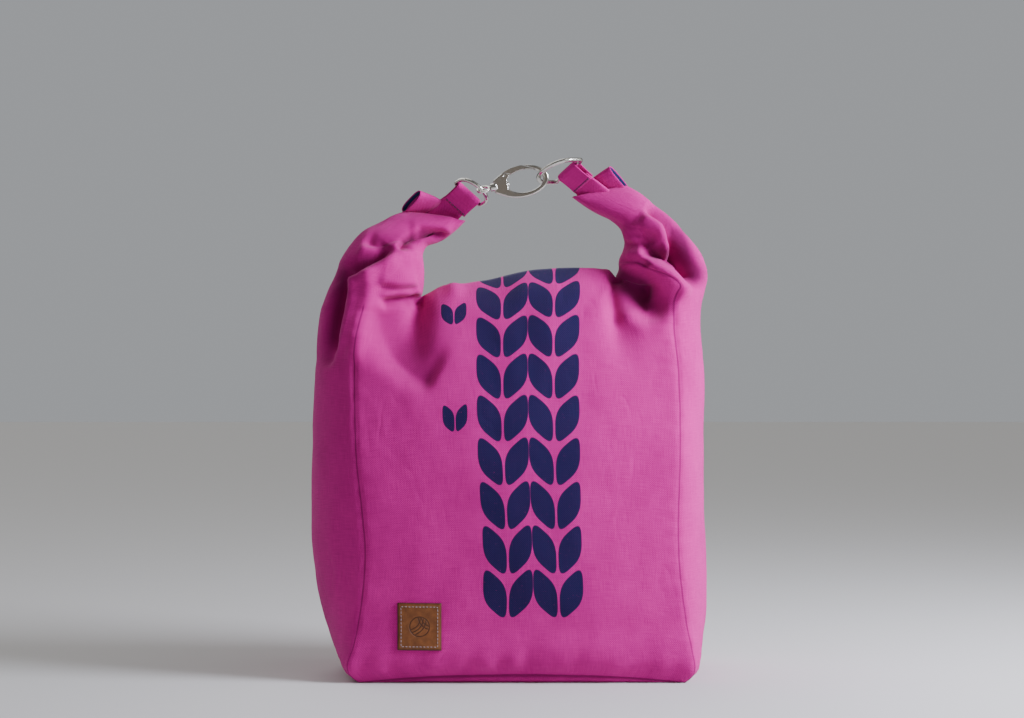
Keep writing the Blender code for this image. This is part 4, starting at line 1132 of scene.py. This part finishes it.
def leather_material():
    """Tan leather: mottled and grained, darker at its cut edge and in the stamp."""
    paint = Paint("tan_leather", LEATHER, 0.55)
    u, v = paint.cloth_uv()
    grain = paint.noise(u, v, 2.2, 5.0)
    base = paint.mix(paint.noise(u, v, 0.16, 4.0).ramp(0.3, 0.7), LEATHER_DARK, LEATHER_LIGHT)
    reach = (abs(u) / LABEL_HALF[0]).most(abs(v) / LABEL_HALF[1])
    base = paint.mix(reach.ramp(0.9, 0.985, 0.0, 0.8), base, LEATHER_EDGE)
    stamp = yarn_ball(u, v)
    paint.set("Base Color", paint.mix(stamp * 0.75, base, LEATHER_EDGE))
    paint.set("Roughness", grain.ramp(0.3, 0.7, 0.42, 0.62))
    paint.set("Specular IOR Level", 0.3)
    paint.set("Normal", paint.bump(grain * 0.6 - stamp * 1.3, 0.0004, 0.6))
    return paint.material


def distance_to(u, v, x, z):
    across, up = u - x, v - z
    return (across * across + up * up).apply("SQRT")


def yarn_ball(u, v):
    """A stamped ball of yarn: a ring, and wound strands inside it."""
    inside = distance_to(u, v, 0, 0).ramp(BALL_RADIUS - 0.6, BALL_RADIUS - 0.2, 1.0, 0.0)
    stamp = abs(distance_to(u, v, 0, 0) - BALL_RADIUS).ramp(0.3, 0.6, 1.0, 0.0)
    for x, z, radius in BALL_STRANDS:
        strand = abs(distance_to(u, v, x, z) - radius).ramp(0.3, 0.6, 1.0, 0.0)
        stamp = stamp.most(strand * inside)
    return stamp


def nickel_material():
    """Plated metal, polished, with faint scuffs."""
    paint = Paint("polished_nickel", NICKEL, 0.14, 1.0)
    place = add_node(paint.tree, "TexCoord").outputs["Object"]
    scuffs = paint.noise_at(place, 160, 4)
    rounded = add_node(paint.tree, "Bevel", {"Radius": 0.0008}, samples=6)
    paint.set("Roughness", scuffs.ramp(0.35, 0.7, 0.10, 0.24))
    paint.set("Normal", paint.bump(scuffs, 0.00006, 0.25, Normal=rounded.outputs[0]))
    return paint.material


def polish_metal():
    """Gives the CAD's plated parts the polished metal."""
    finish = nickel_material()
    slots = [slot for obj in bpy.data.objects if obj.type == "MESH" for slot in obj.material_slots]
    for slot in slots:
        if slot.material and slot.material.name.startswith("nickel_plate"):
            slot.material = finish


# Stage ----------------------------------------------------------------------------------------

def add_light(name, kind, place, aim, size, power, colour):
    """A soft disk of light, or a sun so wide that its shadows have no edge."""
    data = bpy.data.lights.new(name, kind)
    if kind == "AREA":
        data.shape = "DISK"
        data.size = size
    else:
        data.angle = math.radians(size)
    data.energy = power
    data.color = colour
    light = bpy.data.objects.new(name, data)
    light.location = place
    light.rotation_euler = (Vector(place) - Vector(aim)).to_track_quat("Z", "Y").to_euler()
    bpy.context.scene.collection.objects.link(light)


def room_light(tree):
    """Strength of the light from each direction: a pale ceiling and the room's windows."""
    place = add_node(tree, "TexCoord").outputs["Generated"]
    height = add_node(tree, "SeparateXYZ", {0: place})
    total = Value(tree, height.outputs[2]).ramp(*CEILING)
    for towards, low, high, strength in WINDOWS:
        ends = {0: place, 1: Vector(towards).normalized()}
        window = add_node(tree, "VectorMath", ends, operation="DOT_PRODUCT")
        total = total + Value(tree, window.outputs["Value"]).ramp(low, high, 0, strength)
    return total


def build_world():
    """A plain grey backdrop for the camera; everything else sees the room's light."""
    world = bpy.data.worlds.new("studio")
    world.use_nodes = True
    tree = world.node_tree
    backdrop = add_node(tree, "Background", {0: BACKDROP, 1: BACKDROP_STRENGTH})
    room = add_node(tree, "Background", {1: room_light(tree)})
    seen = add_node(tree, "LightPath").outputs["Is Camera Ray"]
    choice = add_node(tree, "MixShader", {0: seen, 1: room.outputs[0], 2: backdrop.outputs[0]})
    fill(tree, tree.nodes["World Output"].inputs[0], choice.outputs[0])
    bpy.context.scene.world = world


def build_stage():
    """The floor, the lights and the camera."""
    bpy.ops.mesh.primitive_plane_add(size=14)
    floor = bpy.context.object
    floor.name = "floor"
    floor.data.materials.append(Paint("floor", FLOOR, 0.85).material)
    for light in LIGHTS:
        add_light(*light)
    build_world()
    data = bpy.data.cameras.new("camera")
    data.lens = LENS
    camera = bpy.data.objects.new("camera", data)
    camera.location = CAMERA_PLACE
    camera.rotation_euler = (math.radians(90), 0, 0)
    bpy.context.scene.collection.objects.link(camera)
    bpy.context.scene.camera = camera


def cloth_seams(cloth):
    """Every seam in cloth coordinates: where it runs and the height at which a fold covers it."""
    fronts = list(zip(cloth.seams, cloth.seam_ends))
    return fronts + [(BACK + seam, end) for seam, end in fronts]


def main():
    polish_metal()
    bag = cloth_object(lambda cloth: canvas("printed_canvas", PINK, cloth_seams(cloth), knit_print))
    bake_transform(bag)
    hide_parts(*COVERED_BY_CLOTH)
    plain = canvas("plain_canvas", PINK)
    navy = canvas("navy_lining", LINING_NAVY)
    dark_thread = Paint("dark_thread", DARK_THREAD, 0.7).material
    grey_thread = Paint("grey_thread", GREY_THREAD, 0.7).material
    rolled_top(plain, dark_thread)
    for side in ("left", "right"):
        tab(side, plain, dark_thread)
        hem_end(side, plain)
        cuff(side, plain, navy)
    label(skin_reader(bag), leather_material(), grey_thread)
    build_stage()


main()
